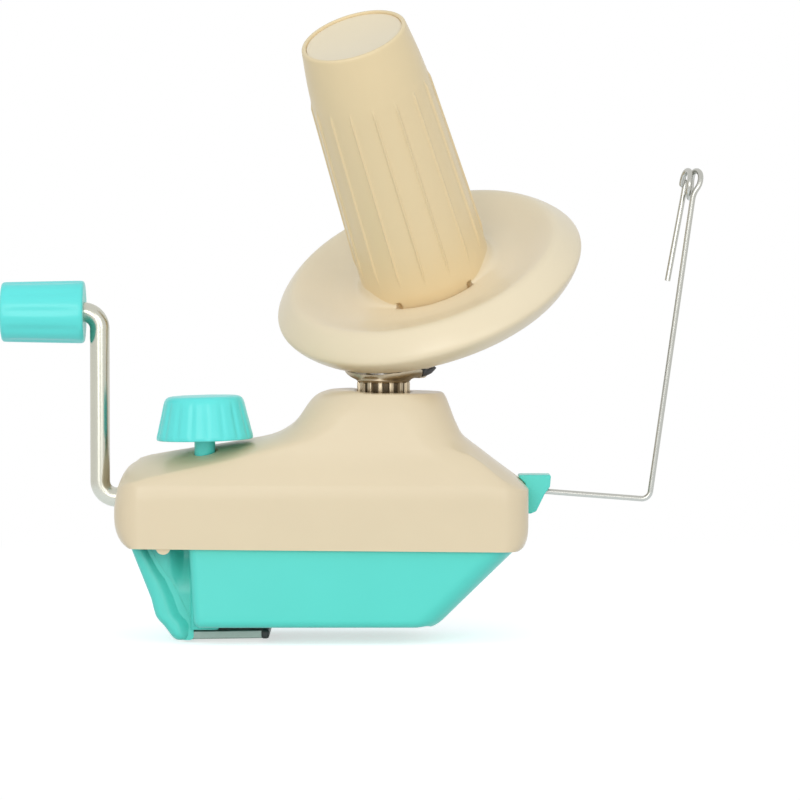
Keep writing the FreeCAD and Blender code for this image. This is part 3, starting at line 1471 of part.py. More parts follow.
def make_guide_wire():
    """Wire run, elbow and riser, an eye of one and a half turns, and a short tail, in one sweep."""
    vector = FreeCAD.Vector
    slope = math.tan(math.radians(size("wire_droop")))
    pitch, radius = size("eye_pitch"), size("eye_radius")
    begin = vector(size("wire_start_x"), 0, size("wire_z"))
    elbow_z = size("wire_z") - (size("wire_elbow_x") - size("wire_start_x")) * slope
    elbow = vector(size("wire_elbow_x"), 0, elbow_z)
    middle = vector(size("eye_x"), 0, size("eye_z"))
    turns = [middle + vector(across * pitch, deep * radius, up * radius) for across, deep, up in EYE_TURNS]
    tail_end = vector(size("tail_end_x"), size("tail_end_y"), size("tail_end_z"))
    eye = Part.BSplineCurve()
    eye.interpolate(Points=turns, InitialTangent=turns[0] - elbow, FinalTangent=tail_end - turns[-1])
    edges = rounded_path([begin, elbow, turns[0]], [size("wire_bend")])
    edges += [eye.toShape(), Part.makeLine(turns[-1], tail_end)]
    along = (elbow - begin).normalize()
    section = Part.Wire(Part.Circle(begin, along, size("wire_radius")).toShape())
    wire = doc.addObject("Part::Feature", "guide_wire")
    wire.Shape = Part.Wire(edges).makePipeShell([section], True, False)
    node(wire, "guide_wire")


outer_form = make_upper_housing()
make_lower_housing()
make_housing_screws()
make_fixed_post()
make_bushes()
make_spindle()
make_toothed_collar()
make_drive_pinion()
crown_pin_place = make_crown_gear()
make_crank_rod(crown_pin_place)
make_crank_clips()
make_grip()
make_carrier_arm()
make_axle()
make_sun_gear()
make_ring_gear()
make_spool_tube()
make_spool_flange()
make_spool_cap()
make_clamp_knob()
make_clamp_screw()
make_clamp_nut()
make_clamp_jaw()
make_jaw_plate()
make_jaw_rivets()
make_guide_bracket(outer_form)
make_guide_wire()
doc.recompute()

for thing in doc.Objects:
    if "Invalid" in thing.State or "Error" in thing.State:
        raise RuntimeError("%s failed to build" % thing.Label)
for thing in NODES:
    shape = thing.Shape
    if shape.isNull() or not shape.isValid() or not shape.Solids:
        raise RuntimeError("%s has no valid solid" % thing.Label)
    print(thing.Label, len(shape.Solids), round(shape.Volume, 1))
    shape.exportStep("parts/%s.step" % thing.Label)
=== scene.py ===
"""Studio scene of a hand-cranked yarn ball winder, built around its CAD frame.

Metres, +Z up. The origin is where the spindle axis meets the face that rests on the table,
+X points from the crank to the yarn guide, and the viewer stands on the -Y side.
"""
import math

import bmesh
import bpy
import numpy as np
from mathutils import Matrix, Vector


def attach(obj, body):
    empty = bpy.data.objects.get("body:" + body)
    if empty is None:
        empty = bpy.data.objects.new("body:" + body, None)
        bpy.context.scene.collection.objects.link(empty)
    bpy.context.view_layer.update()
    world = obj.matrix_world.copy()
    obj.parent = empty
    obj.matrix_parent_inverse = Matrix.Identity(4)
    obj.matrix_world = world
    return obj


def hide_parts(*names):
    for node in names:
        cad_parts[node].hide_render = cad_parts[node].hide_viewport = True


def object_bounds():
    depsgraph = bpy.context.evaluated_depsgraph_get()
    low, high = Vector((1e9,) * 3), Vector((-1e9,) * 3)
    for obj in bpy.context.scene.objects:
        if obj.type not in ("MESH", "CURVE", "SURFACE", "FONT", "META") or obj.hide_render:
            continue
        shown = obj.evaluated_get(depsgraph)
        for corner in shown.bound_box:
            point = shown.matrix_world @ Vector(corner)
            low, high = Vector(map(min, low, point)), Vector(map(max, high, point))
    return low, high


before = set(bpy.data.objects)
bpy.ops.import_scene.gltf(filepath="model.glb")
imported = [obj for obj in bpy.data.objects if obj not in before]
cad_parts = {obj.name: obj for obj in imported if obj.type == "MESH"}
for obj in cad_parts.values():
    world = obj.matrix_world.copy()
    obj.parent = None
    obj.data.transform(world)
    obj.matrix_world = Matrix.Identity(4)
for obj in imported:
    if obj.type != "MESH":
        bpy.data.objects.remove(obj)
cad_box = [[float(value) for value in corner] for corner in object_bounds()]


# Camera. The viewer is 1.2 m away and a little above the spool's flange, looking slightly down
# through a long lens, so the winder is seen almost square on.
eye = Vector((0.0, -1.2, 0.118))
eye_to_centre = Vector((0.0042, 1.0, -0.04197))


def placed(name, data):
    """A new object in the scene."""
    thing = bpy.data.objects.new(name, data)
    bpy.context.scene.collection.objects.link(thing)
    return thing


camera = placed("camera", bpy.data.cameras.new("camera"))
camera.data.sensor_width = 36.0
camera.data.lens = 177.1
camera.data.clip_start = 0.05
camera.data.clip_end = 20.0
camera.location = eye
camera.rotation_euler = eye_to_centre.to_track_quat("-Z", "Y").to_euler()
bpy.context.scene.camera = camera
bpy.context.scene.view_settings.view_transform = "Standard"


# Studio. A white tent: two broad soft lamps above the viewer's left and right, and a world that is bright in
# front, greyer behind and cooler overhead. The viewer, metal and glass see it plain white.
for name, place, width, watts in (("key_lamp", (-0.5, -2.2, 0.6), 1.3, 12.3),
                                  ("fill_lamp", (0.9, -2.1, 0.5), 1.2, 6.0)):
    lamp = placed(name, bpy.data.lights.new(name, "AREA"))
    lamp.data.shape = "DISK"
    lamp.data.size = width
    lamp.data.energy = watts
    lamp.location = place
    lamp.rotation_euler = (Vector((0, 0, 0.08)) - Vector(place)).to_track_quat("-Z", "Y").to_euler()


def add_node(tree, kind, inputs=()):
    """A new shader node, with some of its inputs set."""
    node = tree.nodes.new("ShaderNode" + kind)
    for name, value in dict(inputs).items():
        node.inputs[name].default_value = value
    return node


def link_nodes(tree, *pairs):
    """Join each pair of sockets, an output first."""
    for start, end in pairs:
        tree.links.new(start, end)


def shown_white(tree):
    """1 for rays that show the background itself: the viewer's own, off metal and through glass."""
    rays = add_node(tree, "LightPath")
    share = rays.outputs["Is Camera Ray"]
    for kind in ("Is Glossy Ray", "Is Transmission Ray"):
        either = add_node(tree, "Math")
        either.operation = "MAXIMUM"
        link_nodes(tree, (share, either.inputs[0]), (rays.outputs[kind], either.inputs[1]))
        share = either.outputs["Value"]
    return share


world = bpy.data.worlds.new("studio")
world.use_nodes = True
bpy.context.scene.world = world
sky = world.node_tree
tent_direction = add_node(sky, "TexCoord")
tent_axes = add_node(sky, "SeparateXYZ")
tent_depth = add_node(sky, "MapRange", {"From Min": -1.0})
tent_tone = add_node(sky, "ValToRGB")
tent_tone.color_ramp.elements[0].color = (0.58, 0.58, 0.58, 1)
tent_tone.color_ramp.elements[1].color = (0.36, 0.36, 0.37, 1)
for position, tone in ((0.03, 0.62), (0.08, 0.98), (0.38, 0.96), (0.50, 0.58), (0.62, 0.46)):
    step = tent_tone.color_ramp.elements.new(position)
    step.color = (tone * 0.985, tone * 0.995, tone, 1)
white = add_node(sky, "Mix")
white.data_type = "RGBA"
white.inputs["B"].default_value = (1, 1, 1, 1)
tent_height = add_node(sky, "MapRange", {"From Min": 0.45, "From Max": 0.95})
cooler = add_node(sky, "Mix")
cooler.data_type = "RGBA"
cooler.blend_type = "MULTIPLY"
cooler.inputs["B"].default_value = (0.84, 1.06, 1.34, 1)
link_nodes(sky, (tent_direction.outputs["Generated"], tent_axes.inputs["Vector"]),
           (tent_axes.outputs["Y"], tent_depth.inputs["Value"]),
           (tent_depth.outputs["Result"], tent_tone.inputs["Fac"]),
           (tent_axes.outputs["Z"], tent_height.inputs["Value"]),
           (tent_height.outputs["Result"], cooler.inputs["Factor"]),
           (tent_tone.outputs["Color"], cooler.inputs["A"]),
           (cooler.outputs["Result"], white.inputs["A"]),
           (shown_white(sky), white.inputs["Factor"]),
           (white.outputs["Result"], sky.nodes["Background"].inputs["Color"]))


# Floor. A pale round sheet just under the winder, which keeps its soft shadow and fades into the white
# tent. A glow that only the viewer, metal and glass see lifts it to white.
floor_radius, floor_sides = 1.6, 96
floor_mesh = bpy.data.meshes.new("floor")
floor_turns = [math.tau * i / floor_sides for i in range(floor_sides)]
floor_ring = [(floor_radius * math.cos(turn), floor_radius * math.sin(turn), 0) for turn in floor_turns]
floor_mesh.from_pydata(floor_ring, [], [list(range(floor_sides))])
floor = placed("floor", floor_mesh)
floor.location.z = cad_box[0][2] - 0.0008
floor_paint = bpy.data.materials.new("pale_floor")
floor_paint.use_nodes = True
tree = floor_paint.node_tree
sheet = tree.nodes["Principled BSDF"]
sheet.inputs["Base Color"].default_value = (0.78, 0.78, 0.78, 1)
sheet.inputs["Roughness"].default_value = 0.9
sheet.inputs["Specular IOR Level"].default_value = 0.1
glow = add_node(tree, "Emission")
place = add_node(tree, "TexCoord")
reach = add_node(tree, "VectorMath")
reach.operation = "LENGTH"
fade = add_node(tree, "MapRange", {"From Min": 0.12, "From Max": 0.40})
fade.interpolation_type = "SMOOTHSTEP"
seen = shown_white(tree)
both = add_node(tree, "Math")
both.operation = "MULTIPLY"
mix = add_node(tree, "MixShader")
lift = add_node(tree, "Emission")
lift_share = add_node(tree, "Math", {1: 0.60})
lift_share.operation = "MULTIPLY"
near = add_node(tree, "AddShader")
link_nodes(tree, (seen, lift_share.inputs[0]),
           (lift_share.outputs["Value"], lift.inputs["Strength"]),
           (sheet.outputs["BSDF"], near.inputs[0]),
           (lift.outputs["Emission"], near.inputs[1]),
           (place.outputs["Object"], reach.inputs[0]),
           (reach.outputs["Value"], fade.inputs["Value"]),
           (fade.outputs["Result"], both.inputs[0]),
           (seen, both.inputs[1]),
           (both.outputs["Value"], mix.inputs["Fac"]),
           (near.outputs["Shader"], mix.inputs[1]),
           (glow.outputs["Emission"], mix.inputs[2]),
           (mix.outputs["Shader"], tree.nodes["Material Output"].inputs["Surface"]))
floor.data.materials.append(floor_paint)


# Upper housing. One shell of glossy cream plastic, open below: a crowned deck rises to a steep hub over the
# spindle, with soft moulded blends. It is a skin of rings from the parting line over the deck to the hub's
# bore, thickened inwards, with its holes cut and its inner bosses added.
MM = 0.001


def noise(tree, place, scale, detail=2.0, stretch=(1, 1, 1)):
    """Noise in the object's own metres, with an optional stretch along its axes."""
    mapping = add_node(tree, "Mapping", {"Scale": stretch})
    grain = add_node(tree, "TexNoise", {"Scale": scale, "Detail": detail})
    link_nodes(tree, (place, mapping.inputs["Vector"]), (mapping.outputs["Vector"], grain.inputs["Vector"]))
    return grain.outputs["Fac"]


def span(tree, value, low, high):
    """Map a noise value on a range."""
    change = add_node(tree, "MapRange", {"To Min": low, "To Max": high})
    link_nodes(tree, (value, change.inputs["Value"]))
    return change.outputs["Result"]


def tinted(tree, value, dark, light):
    """A colour between two, by a noise value."""
    mix = add_node(tree, "Mix")
    mix.data_type = "RGBA"
    mix.inputs["A"].default_value = (*dark, 1)
    mix.inputs["B"].default_value = (*light, 1)
    link_nodes(tree, (value, mix.inputs["Factor"]))
    return mix.outputs["Result"]


def bumps(tree, layers):
    """Bump nodes in a chain, each with a height and a depth in metres."""
    below = None
    for height, depth in layers:
        bump = add_node(tree, "Bump", {"Strength": 1.0, "Distance": depth})
        link_nodes(tree, (height, bump.inputs["Height"]))
        if below:
            link_nodes(tree, (below, bump.inputs["Normal"]))
        below = bump.outputs["Normal"]
    return below


def moulded_plastic(name, colour, gloss=0.30, clouding=0.03, wave=0.00003, bloom=0.000002):
    """Glossy moulded plastic: faint clouding, uneven gloss, slow sink marks and a fine bloom."""
    paint = bpy.data.materials.new(name)
    paint.use_nodes = True
    tree = paint.node_tree
    shader = tree.nodes["Principled BSDF"]
    place = add_node(tree, "TexCoord").outputs["Object"]
    cloud = noise(tree, place, 38.0, 3.0)
    dark = [tone * (1 - clouding) for tone in colour]
    light = [min(tone * (1 + clouding), 1.0) for tone in colour]
    rubbed = span(tree, noise(tree, place, 95.0, 4.0), gloss - 0.05, gloss + 0.06)
    relief = bumps(tree, [(noise(tree, place, 42.0, 0.0), wave), (noise(tree, place, 2600.0, 2.0), bloom)])
    link_nodes(tree, (tinted(tree, cloud, dark, light), shader.inputs["Base Color"]),
               (rubbed, shader.inputs["Roughness"]), (relief, shader.inputs["Normal"]))
    shader.inputs["Specular IOR Level"].default_value = 0.42
    return paint


def dress(material, *nodes):
    """Give CAD nodes their finish."""
    for node in nodes:
        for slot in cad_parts[node].material_slots:
            slot.material = material


cream = moulded_plastic("cream_plastic", (0.745, 0.600, 0.390))
LEFT_END, RIGHT_END, HALF_DEPTH, CORNER = -82.0, 43.7, 25.0, 9.0
HOUSING_WALL, PARTING = 2.2, 24.0
BORE, RECESS, RECESS_FLOOR = 5.45, 9.2, 69.3
DECK_X = [-82.0, -81.6, -80.5, -79.0, -76.4, -71.8, -64.0, -57.8, -39.8, -20.0, 14.0, 21.0, 26.0, 29.6,
          34.8, 38.6, 40.6, 42.2, 43.2, 43.7]
DECK_Z = [43.6, 45.0, 46.6, 48.2, 49.6, 50.9, 52.2, 53.2, 55.8, 57.5, 57.5, 56.9, 54.9, 52.3, 48.2,
          45.6, 44.2, 42.7, 41.0, 39.2]
# Hub sections: level, reach to the left, to the right and to the front, corner rounding
HUB = [
    (71.00, 15.0, 15.0, 15.0, 15.0), (70.85, 16.6, 16.6, 16.5, 16.3), (70.4, 18.0, 17.6, 17.3, 16.6),
    (69.5, 20.1, 18.5, 18.0, 16.6), (67.8, 22.0, 19.4, 18.7, 15.6), (65.2, 23.9, 20.4, 19.5, 14.6),
    (62.5, 25.7, 21.4, 20.1, 14.0), (60.0, 28.2, 22.5, 20.6, 14.0), (57.3, 33.0, 23.9, 21.1, 14.0),
    (54.8, 41.0, 26.2, 21.6, 14.0), (51.5, 53.0, 30.4, 22.2, 14.0), (48.2, 64.0, 34.8, 23.0, 13.0),
    (45.0, 74.0, 39.0, 24.0, 12.0), (41.0, 84.0, 44.2, 25.2, 10.0), (36.0, 94.0, 50.0, 26.6, 10.0),
]
BAND_FOOT, BAND_SLOPE, CROWN = 42.3, 3.2, 99.0
HUB_TOP, HUB_FALL = 71.0, 0.9
# How each end tucks in towards the parting line: depth, level where it starts, height of its rounding
LEFT_TUCK, RIGHT_TUCK = (5.5, 33.0, 9.05), (3.2, 30.5, 6.55)
SEAM_TILT = 1.1
SHIFT, SHOULDER_SHIFT = 0.8, 1.1
KNOB_PLACE = (-54.0, -12.0)
CRANK_LEVEL = 38.0


def eased(value):
    """A share from 0 to 1 that starts and ends softly."""
    value = np.clip(value, 0, 1)
    return value * value * (3 - 2 * value)


def smooth_low(a, b, reach):
    """The lower of two heights, with a soft blend where they are close."""
    share = np.clip(0.5 + 0.5 * (b - a) / reach, 0, 1)
    return b + (a - b) * share - reach * share * (1 - share)


def curve_through(rows, steps):
    """Rows of numbers on a smooth curve through the given rows."""
    rows = np.array(rows)
    padded = np.vstack([2 * rows[0] - rows[1], rows, 2 * rows[-1] - rows[-2]])
    out = []
    for i in range(1, len(rows)):
        a, b, c, d = padded[i - 1:i + 3]
        for t in np.arange(steps) / steps:
            out.append(0.5 * (2 * b + (c - a) * t + (2 * a - 5 * b + 4 * c - d) * t ** 2
                              + (3 * b - a - 3 * c + d) * t ** 3))
    return np.array(out + [rows[-1]])


def outside(x, y, left, right, half, corner):
    """Distance outside a rounded rectangle of the plan."""
    across = abs(x - (right + left) / 2) - ((right - left) / 2 - corner)
    away = abs(y) - (half - corner)
    beyond = np.hypot(np.maximum(across, 0), np.maximum(away, 0))
    return beyond + np.minimum(np.maximum(across, away), 0) - corner


def hub_height(x, y):
    """Height of the hub's flank above each point of the plan."""
    levels = curve_through(HUB, 4)
    height = np.full(x.shape, levels[-1][0])
    above = outside(x, y, -levels[-1][1], *levels[-1][2:])
    for k in range(len(levels) - 2, -1, -1):
        level, left, right, half, corner = levels[k]
        here = outside(x, y, -left, right, half, min(corner, half))
        share = np.clip(-above / np.maximum(here - above, 1e-6), 0, 1)
        rising = (above <= 0)
        height = np.where(rising, levels[k + 1][0] + (level - levels[k + 1][0]) * share, height)
        above = np.where(rising, here, 1.0)
    return height


def housing_height(x, y):
    """Height of the outer skin above each point of the plan."""
    # The deck crowns from front to back, more tightly to the left of the hub than at its right end
    crown = CROWN / (1 - 0.45 * np.clip((x - 14) / 16, 0, 1))
    deck = np.interp(x, DECK_X, DECK_Z) - y * y / crown
    edge = np.maximum(-outside(x, y, LEFT_END, RIGHT_END, HALF_DEPTH, CORNER), 0)
    # Its edges turn down in a slanting band along the sides and in a round shoulder at the ends
    across = np.maximum(abs(x - (RIGHT_END + LEFT_END) / 2) - ((RIGHT_END - LEFT_END) / 2 - CORNER), 0)
    away = np.maximum(abs(y) - (HALF_DEPTH - CORNER), 0)
    endwise = across ** 2 / np.maximum(across ** 2 + away ** 2, 1e-6)
    shoulder = 41.0 + 1.07 * np.sqrt(np.clip(64 - (8 - np.minimum(edge, 8)) ** 2, 0, 64))
    shoulder = shoulder + np.maximum(edge - 6, 0) * 3
    band = (BAND_FOOT + edge * BAND_SLOPE) * (1 - endwise) + shoulder * endwise
    body = smooth_low(deck, band, 1.5 + 3.0 * np.clip(x / 15, 0, 1))
    return np.minimum(-smooth_low(-body, -hub_height(x, y), 2.2), HUB_TOP - HUB_FALL * eased((x + 12) / 9))


def housing_outline(step=0.9, corner_steps=16):
    """Points round the plan, anticlockwise."""
    lines = [((RIGHT_END, -HALF_DEPTH + CORNER), (RIGHT_END, HALF_DEPTH - CORNER)),
             ((RIGHT_END - CORNER, HALF_DEPTH), (LEFT_END + CORNER, HALF_DEPTH)),
             ((LEFT_END, HALF_DEPTH - CORNER), (LEFT_END, -HALF_DEPTH + CORNER)),
             ((LEFT_END + CORNER, -HALF_DEPTH), (RIGHT_END - CORNER, -HALF_DEPTH))]
    centres = [(RIGHT_END - CORNER, 1), (LEFT_END + CORNER, 1), (LEFT_END + CORNER, -1),
               (RIGHT_END - CORNER, -1)]
    points = []
    for k, (start, end) in enumerate(lines):
        count = round(math.dist(start, end) / step)
        for i in range(count):
            points.append([start[j] + (end[j] - start[j]) * i / count for j in (0, 1)])
        for i in range(corner_steps):
            turn = math.pi / 2 * (k + i / corner_steps)
            points.append([centres[k][0] + CORNER * math.cos(turn),
                           centres[k][1] * (HALF_DEPTH - CORNER) + CORNER * math.sin(turn)])
    return np.array(points)


def tuck_at(level, depth, start, height):
    """How far an end is tucked in at a level."""
    return depth * (1 - math.sqrt(1 - (max(start - level, 0) / height) ** 2))


def housing_skin(rings=90, samples=260):
    """Rings of points from the parting line up the wall and over the top to the hub's bore."""
    outline = housing_outline()
    reach = np.linalg.norm(outline, axis=1)
    share = np.linspace(0, 1, samples)
    ray = reach[:, None] + (RECESS - reach[:, None]) * share
    x = outline[:, :1] / reach[:, None] * ray
    y = outline[:, 1:] / reach[:, None] * ray
    z = housing_height(x, y)
    run = np.sqrt(np.diff(x) ** 2 + np.diff(y) ** 2 + np.diff(z) ** 2)
    run = np.hstack([np.zeros((len(outline), 1)), np.cumsum(run, axis=1)])
    middle = (LEFT_END + RIGHT_END) / 2
    end_share = np.clip((abs(outline[:, 0] - middle) - (RIGHT_END - middle - CORNER)) / CORNER, 0, 1)
    inward = -np.sign(outline[:, 0] - middle) * end_share ** 2
    skin = []
    for level in (PARTING, 24.3, 24.9, 25.8, 27.0, 28.5, 30.5, 33.0, 36.0, 38.0):
        tuck = np.where(inward > 0, tuck_at(level, *LEFT_TUCK), tuck_at(level, *RIGHT_TUCK))
        skin.append(np.stack([outline[:, 0] + inward * tuck, outline[:, 1], np.full(len(outline), level)], 1))
    for k in range(rings + 1):
        target = run[:, -1] * k / rings
        ring = [[np.interp(target[j], run[j], axis[j]) for axis in (x, y, z)] for j in range(len(outline))]
        skin.append(np.array(ring))
    rim = skin[-1][:, 2]
    for radius, drop in ((9.12, 0.04), (9.02, 0.2)):
        skin.append(np.column_stack([outline * (radius / reach)[:, None], rim - drop]))
    for radius, level in ((8.98, 69.5), (8.85, RECESS_FLOOR), (BORE, RECESS_FLOOR)):
        skin.append(np.column_stack([outline * (radius / reach)[:, None], np.full(len(outline), level)]))
    skin = np.array(skin)
    near_seam = np.clip((36.0 - skin[:, :, 2]) / 12.0, 0, 1)
    skin[:, :, 2] -= SEAM_TILT * (skin[:, :, 0] + 76.0) / 120.0 * near_seam
    near_left = np.clip((-skin[:, :, 0] - 62.0) / 20.0, 0, 1)
    skin[:, :, 0] += (SHIFT + SHOULDER_SHIFT * eased((skin[:, :, 2] - 35.0) / 8.0)) * near_left ** 2
    return skin


def grid_faces(name, points, closed=True):
    """Faces over rows of points in mm, each row closed on itself or open."""
    rows, count = points.shape[:2]
    mesh = bpy.data.meshes.new(name)
    faces = [(i * count + j, i * count + (j + 1) % count, (i + 1) * count + (j + 1) % count,
              (i + 1) * count + j) for i in range(rows - 1) for j in range(count if closed else count - 1)]
    mesh.from_pydata((points.reshape(-1, 3) * MM).tolist(), [], faces)
    return mesh


def grid_mesh(name, points, sharp=40.0, capped=False):
    """A mesh from rings of points in mm, each ring closed, with creases sharper than an angle kept."""
    mesh = grid_faces(name, points)
    form = bmesh.new()
    form.from_mesh(mesh)
    bmesh.ops.remove_doubles(form, verts=form.verts, dist=0.000002)
    bmesh.ops.dissolve_degenerate(form, edges=form.edges, dist=0.000002)
    if capped:
        bmesh.ops.holes_fill(form, edges=form.edges, sides=0)
    settle(form, mesh, sharp)
    return mesh


def settle(form, mesh, sharp):
    """Outward normals, smooth faces and kept creases, written back to the mesh."""
    bmesh.ops.recalc_face_normals(form, faces=form.faces)
    for face in form.faces:
        face.smooth = len(face.verts) < 5
    for edge in form.edges:
        edge.smooth = not (len(edge.link_faces) == 2 and edge.calc_face_angle(0.0) > math.radians(sharp))
    form.to_mesh(mesh)
    form.free()


def ring_at(angles, radius, level):
    """Points round the Z axis in mm, with one radius and level, or one for each angle."""
    return np.stack([radius * np.cos(angles), radius * np.sin(angles), np.zeros(len(angles)) + level], 1)


def turned_points(profile, turns=64, about=(0, 0, 0), axis="Z", closed=True):
    """Rings of a turned form, from a profile of radius and level in mm that closes on itself."""
    angles = np.arange(turns) * math.tau / turns
    rings = np.array([ring_at(angles, *corner) for corner in profile + profile[:1 if closed else 0]])
    return (rings if axis == "Z" else rings[:, :, [2, 0, 1]]) + np.array(about)


def cut_away(thing, bit):
    """Cut a tool's shape out of a piece and take the tool away."""
    boolean = thing.modifiers.new("cut", "BOOLEAN")
    boolean.operation = "DIFFERENCE"
    boolean.object = bit
    bake(thing)
    bpy.data.objects.remove(bit)


def cut_hole(thing, centre, radius, length, axis):
    """Bore a round hole through a piece."""
    drill = bpy.data.meshes.new("drill")
    tool = bmesh.new()
    bmesh.ops.create_cone(tool, cap_ends=True, segments=48, radius1=radius * MM, radius2=radius * MM,
                          depth=length * MM)
    tool.to_mesh(drill)
    tool.free()
    bit = placed("drill", drill)
    bit.location = Vector(centre) * MM
    if axis == "X":
        bit.rotation_euler = (0, math.pi / 2, 0)
    cut_away(thing, bit)


def cut_slot(thing, low, high):
    """Cut a square-cornered slot through a piece."""
    plan = [(low[0], low[1]), (high[0], low[1]), (high[0], high[1]), (low[0], high[1])]
    corners = [[(x, y, z) for x, y in plan] for z in (low[2], high[2])]
    cut_away(thing, placed("cutter", grid_mesh("cutter", np.array(corners), capped=True)))


def bake(thing):
    """Apply a piece's modifiers to its mesh."""
    bpy.context.view_layer.update()
    graph = bpy.context.evaluated_depsgraph_get()
    mesh = bpy.data.meshes.new_from_object(thing.evaluated_get(graph))
    thing.modifiers.clear()
    thing.data = mesh


def loose_mesh(thing):
    """A working piece's mesh, with the piece itself taken away."""
    mesh = thing.data
    bpy.data.objects.remove(thing)
    return mesh


def joined(name, meshes, sharp):
    """One mesh out of several."""
    form = bmesh.new()
    for mesh in meshes:
        form.from_mesh(mesh)
        bpy.data.meshes.remove(mesh)
    whole = bpy.data.meshes.new(name)
    settle(form, whole, sharp)
    return whole


def add_piece(name, mesh, material, body, slot, *nodes):
    """Put a mesh in the scene as a piece that rides on a body and stands for CAD nodes."""
    piece = placed(name, mesh)
    mesh.materials.clear()
    mesh.materials.append(material)
    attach(piece, body)
    if nodes:
        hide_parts(*nodes)


CRANK_HOLE, STEM_HOLE = 4.8, 3.75
shell = placed("housing_work", grid_mesh("housing_work", housing_skin(), 60))
wall = shell.modifiers.new("wall", "SOLIDIFY")
wall.thickness = HOUSING_WALL * MM
wall.offset = -1.0
bake(shell)
cut_hole(shell, (KNOB_PLACE[0] + 0.4, KNOB_PLACE[1], 53.0), STEM_HOLE, 16.0, "Z")
cut_hole(shell, (LEFT_END, 0.0, CRANK_LEVEL), CRANK_HOLE, 14.0, "X")
crank_boss = turned_points([(CRANK_HOLE, 0.0), (6.0, 0.0), (6.0, 3.4), (CRANK_HOLE, 3.4)], 48,
                           (-78.5, 0, CRANK_LEVEL), "X")
shelf_boss = turned_points([(2.55, 45.0), (6.2, 45.0), (6.2, 51.0), (5.0, 51.0), (5.0, 46.5), (2.55, 46.5)],
                           48, (*KNOB_PLACE, 0))
shelf_boss[2:4, :, 2] = housing_height(shelf_boss[2:4, :, 0], shelf_boss[2:4, :, 1]) - 1.2
hub_boss = turned_points([(BORE, 61.5), (7.6, 61.5), (7.6, 68.5), (BORE, 68.5)], 48)
edge_tab = np.array([[(-66.0 + 2.1 * math.cos(turn), y, 24.2 + 1.9 * math.sin(turn))
                      for turn in np.linspace(math.pi, math.tau, 17)] for y in (-24.4, -22.9)])
bosses = [grid_mesh("boss", points) for points in (crank_boss, shelf_boss, hub_boss)]
bosses.append(grid_mesh("tab", edge_tab, capped=True))
housing_mesh = joined("upper_housing_shell", [loose_mesh(shell), *bosses], 50)
add_piece("upper_housing_shell", housing_mesh, cream, "base", "cream_plastic", "upper_housing")


# Lower housing. A turquoise tub with 2 mm walls, rounded edges and a steep right end, which rests on the
# table. Posts take the housing screws, a boss holds the foot bush, and guide walls line the slot for the
# jaw's block.
TUB_TOP, TUB_FLOOR, TUB_HALF, TUB_WALL, TUB_ROUND = 24.0, 2.4, 23.5, 2.0, 2.4
turquoise = moulded_plastic("turquoise_plastic", (0.103, 0.672, 0.560))
RIGHT_CORNER, LEFT_CORNER = 9.0, 2.5
SCREW_HEAD = 3.1
SCREW_PLACES = [(x, y) for x in (-38.0, 11.0) for y in (-18.2, 18.2)]


def sheet_piece(name, points, closed, thickness, edge):
    """Thicken a grid of points into sheet metal with slightly rounded edges."""
    thing = placed(name, grid_faces(name, points, closed))
    wall = thing.modifiers.new("wall", "SOLIDIFY")
    wall.thickness = thickness * MM
    wall.offset = 0.0
    soft = thing.modifiers.new("edge", "BEVEL")
    soft.width = edge * MM
    soft.segments = 2
    soft.limit_method = "ANGLE"
    soft.angle_limit = math.radians(50)
    bake(thing)
    return loose_mesh(thing)


def tub_ring(inset, z):
    """The tub's rounded outline at one height."""
    left = -57.0 - 1.5 * z / TUB_TOP + inset
    right = 16.0 + 24.7 * z / TUB_TOP - inset * (1.25 if z > TUB_ROUND else 0.5)
    half = TUB_HALF - inset
    ring = []
    for quarter, (x, y, corner) in enumerate(((right, half, RIGHT_CORNER), (left, half, LEFT_CORNER),
                                              (left, -half, LEFT_CORNER), (right, -half, RIGHT_CORNER))):
        radius = max(corner - inset, 0.6)
        for turn in np.radians(np.linspace(90 * quarter, 90 * quarter + 90, 13)):
            ring.append((x - math.copysign(radius, x - left - 1) + radius * math.cos(turn),
                         y - math.copysign(radius, y) + radius * math.sin(turn), z))
    return ring


rings = [tub_ring(TUB_WALL, z) for z in (TUB_FLOOR, 8.0, TUB_TOP)]
rings += [tub_ring(0.0, z) for z in (TUB_TOP, *np.linspace(23.0, 4.0, 12))]
for turn in np.radians(np.linspace(0, 90, 10)):
    rings.append(tub_ring(TUB_ROUND * (1 - math.cos(turn)), TUB_ROUND * (1 - math.sin(turn))))
tub = placed("tub_work", grid_mesh("tub_work", np.array(rings), 50, True))
cut_slot(tub, (-63.0, -18.6, -1.0), (-47.4, -5.4, 26.0))
for x, y in SCREW_PLACES:
    cut_hole(tub, (x, y, 1.0), SCREW_HEAD, 4.0, "Z")
post = [(1.7, 4.0), (SCREW_HEAD, 4.0), (SCREW_HEAD, 2.0), (3.7, 2.0), (3.7, 23.9), (1.7, 23.9)]
inner = [grid_mesh("screw_post", turned_points(post, 32, (x, y, 0))) for x, y in SCREW_PLACES]
seat = [(5.4, 8.0), (5.4, 12.5), (7.6, 12.5), (7.6, 2.0), (2.05, 2.0), (2.05, 8.0)]
inner.append(grid_mesh("foot_seat", turned_points(seat, 48)))
guide = [(-57.6, -19.5), (-46.5, -19.5), (-46.5, -4.5), (-57.6, -4.5)]
guide_walls = np.array([[(x, y, z) for x, y in guide] for z in (1.6, 23.8)])
inner.append(sheet_piece("guide_walls", guide_walls, False, 1.6, 0.2))
tub_mesh = joined("lower_tub", [loose_mesh(tub), *inner], 50)
add_piece("lower_tub", tub_mesh, turquoise, "base", "teal_plastic", "lower_housing")


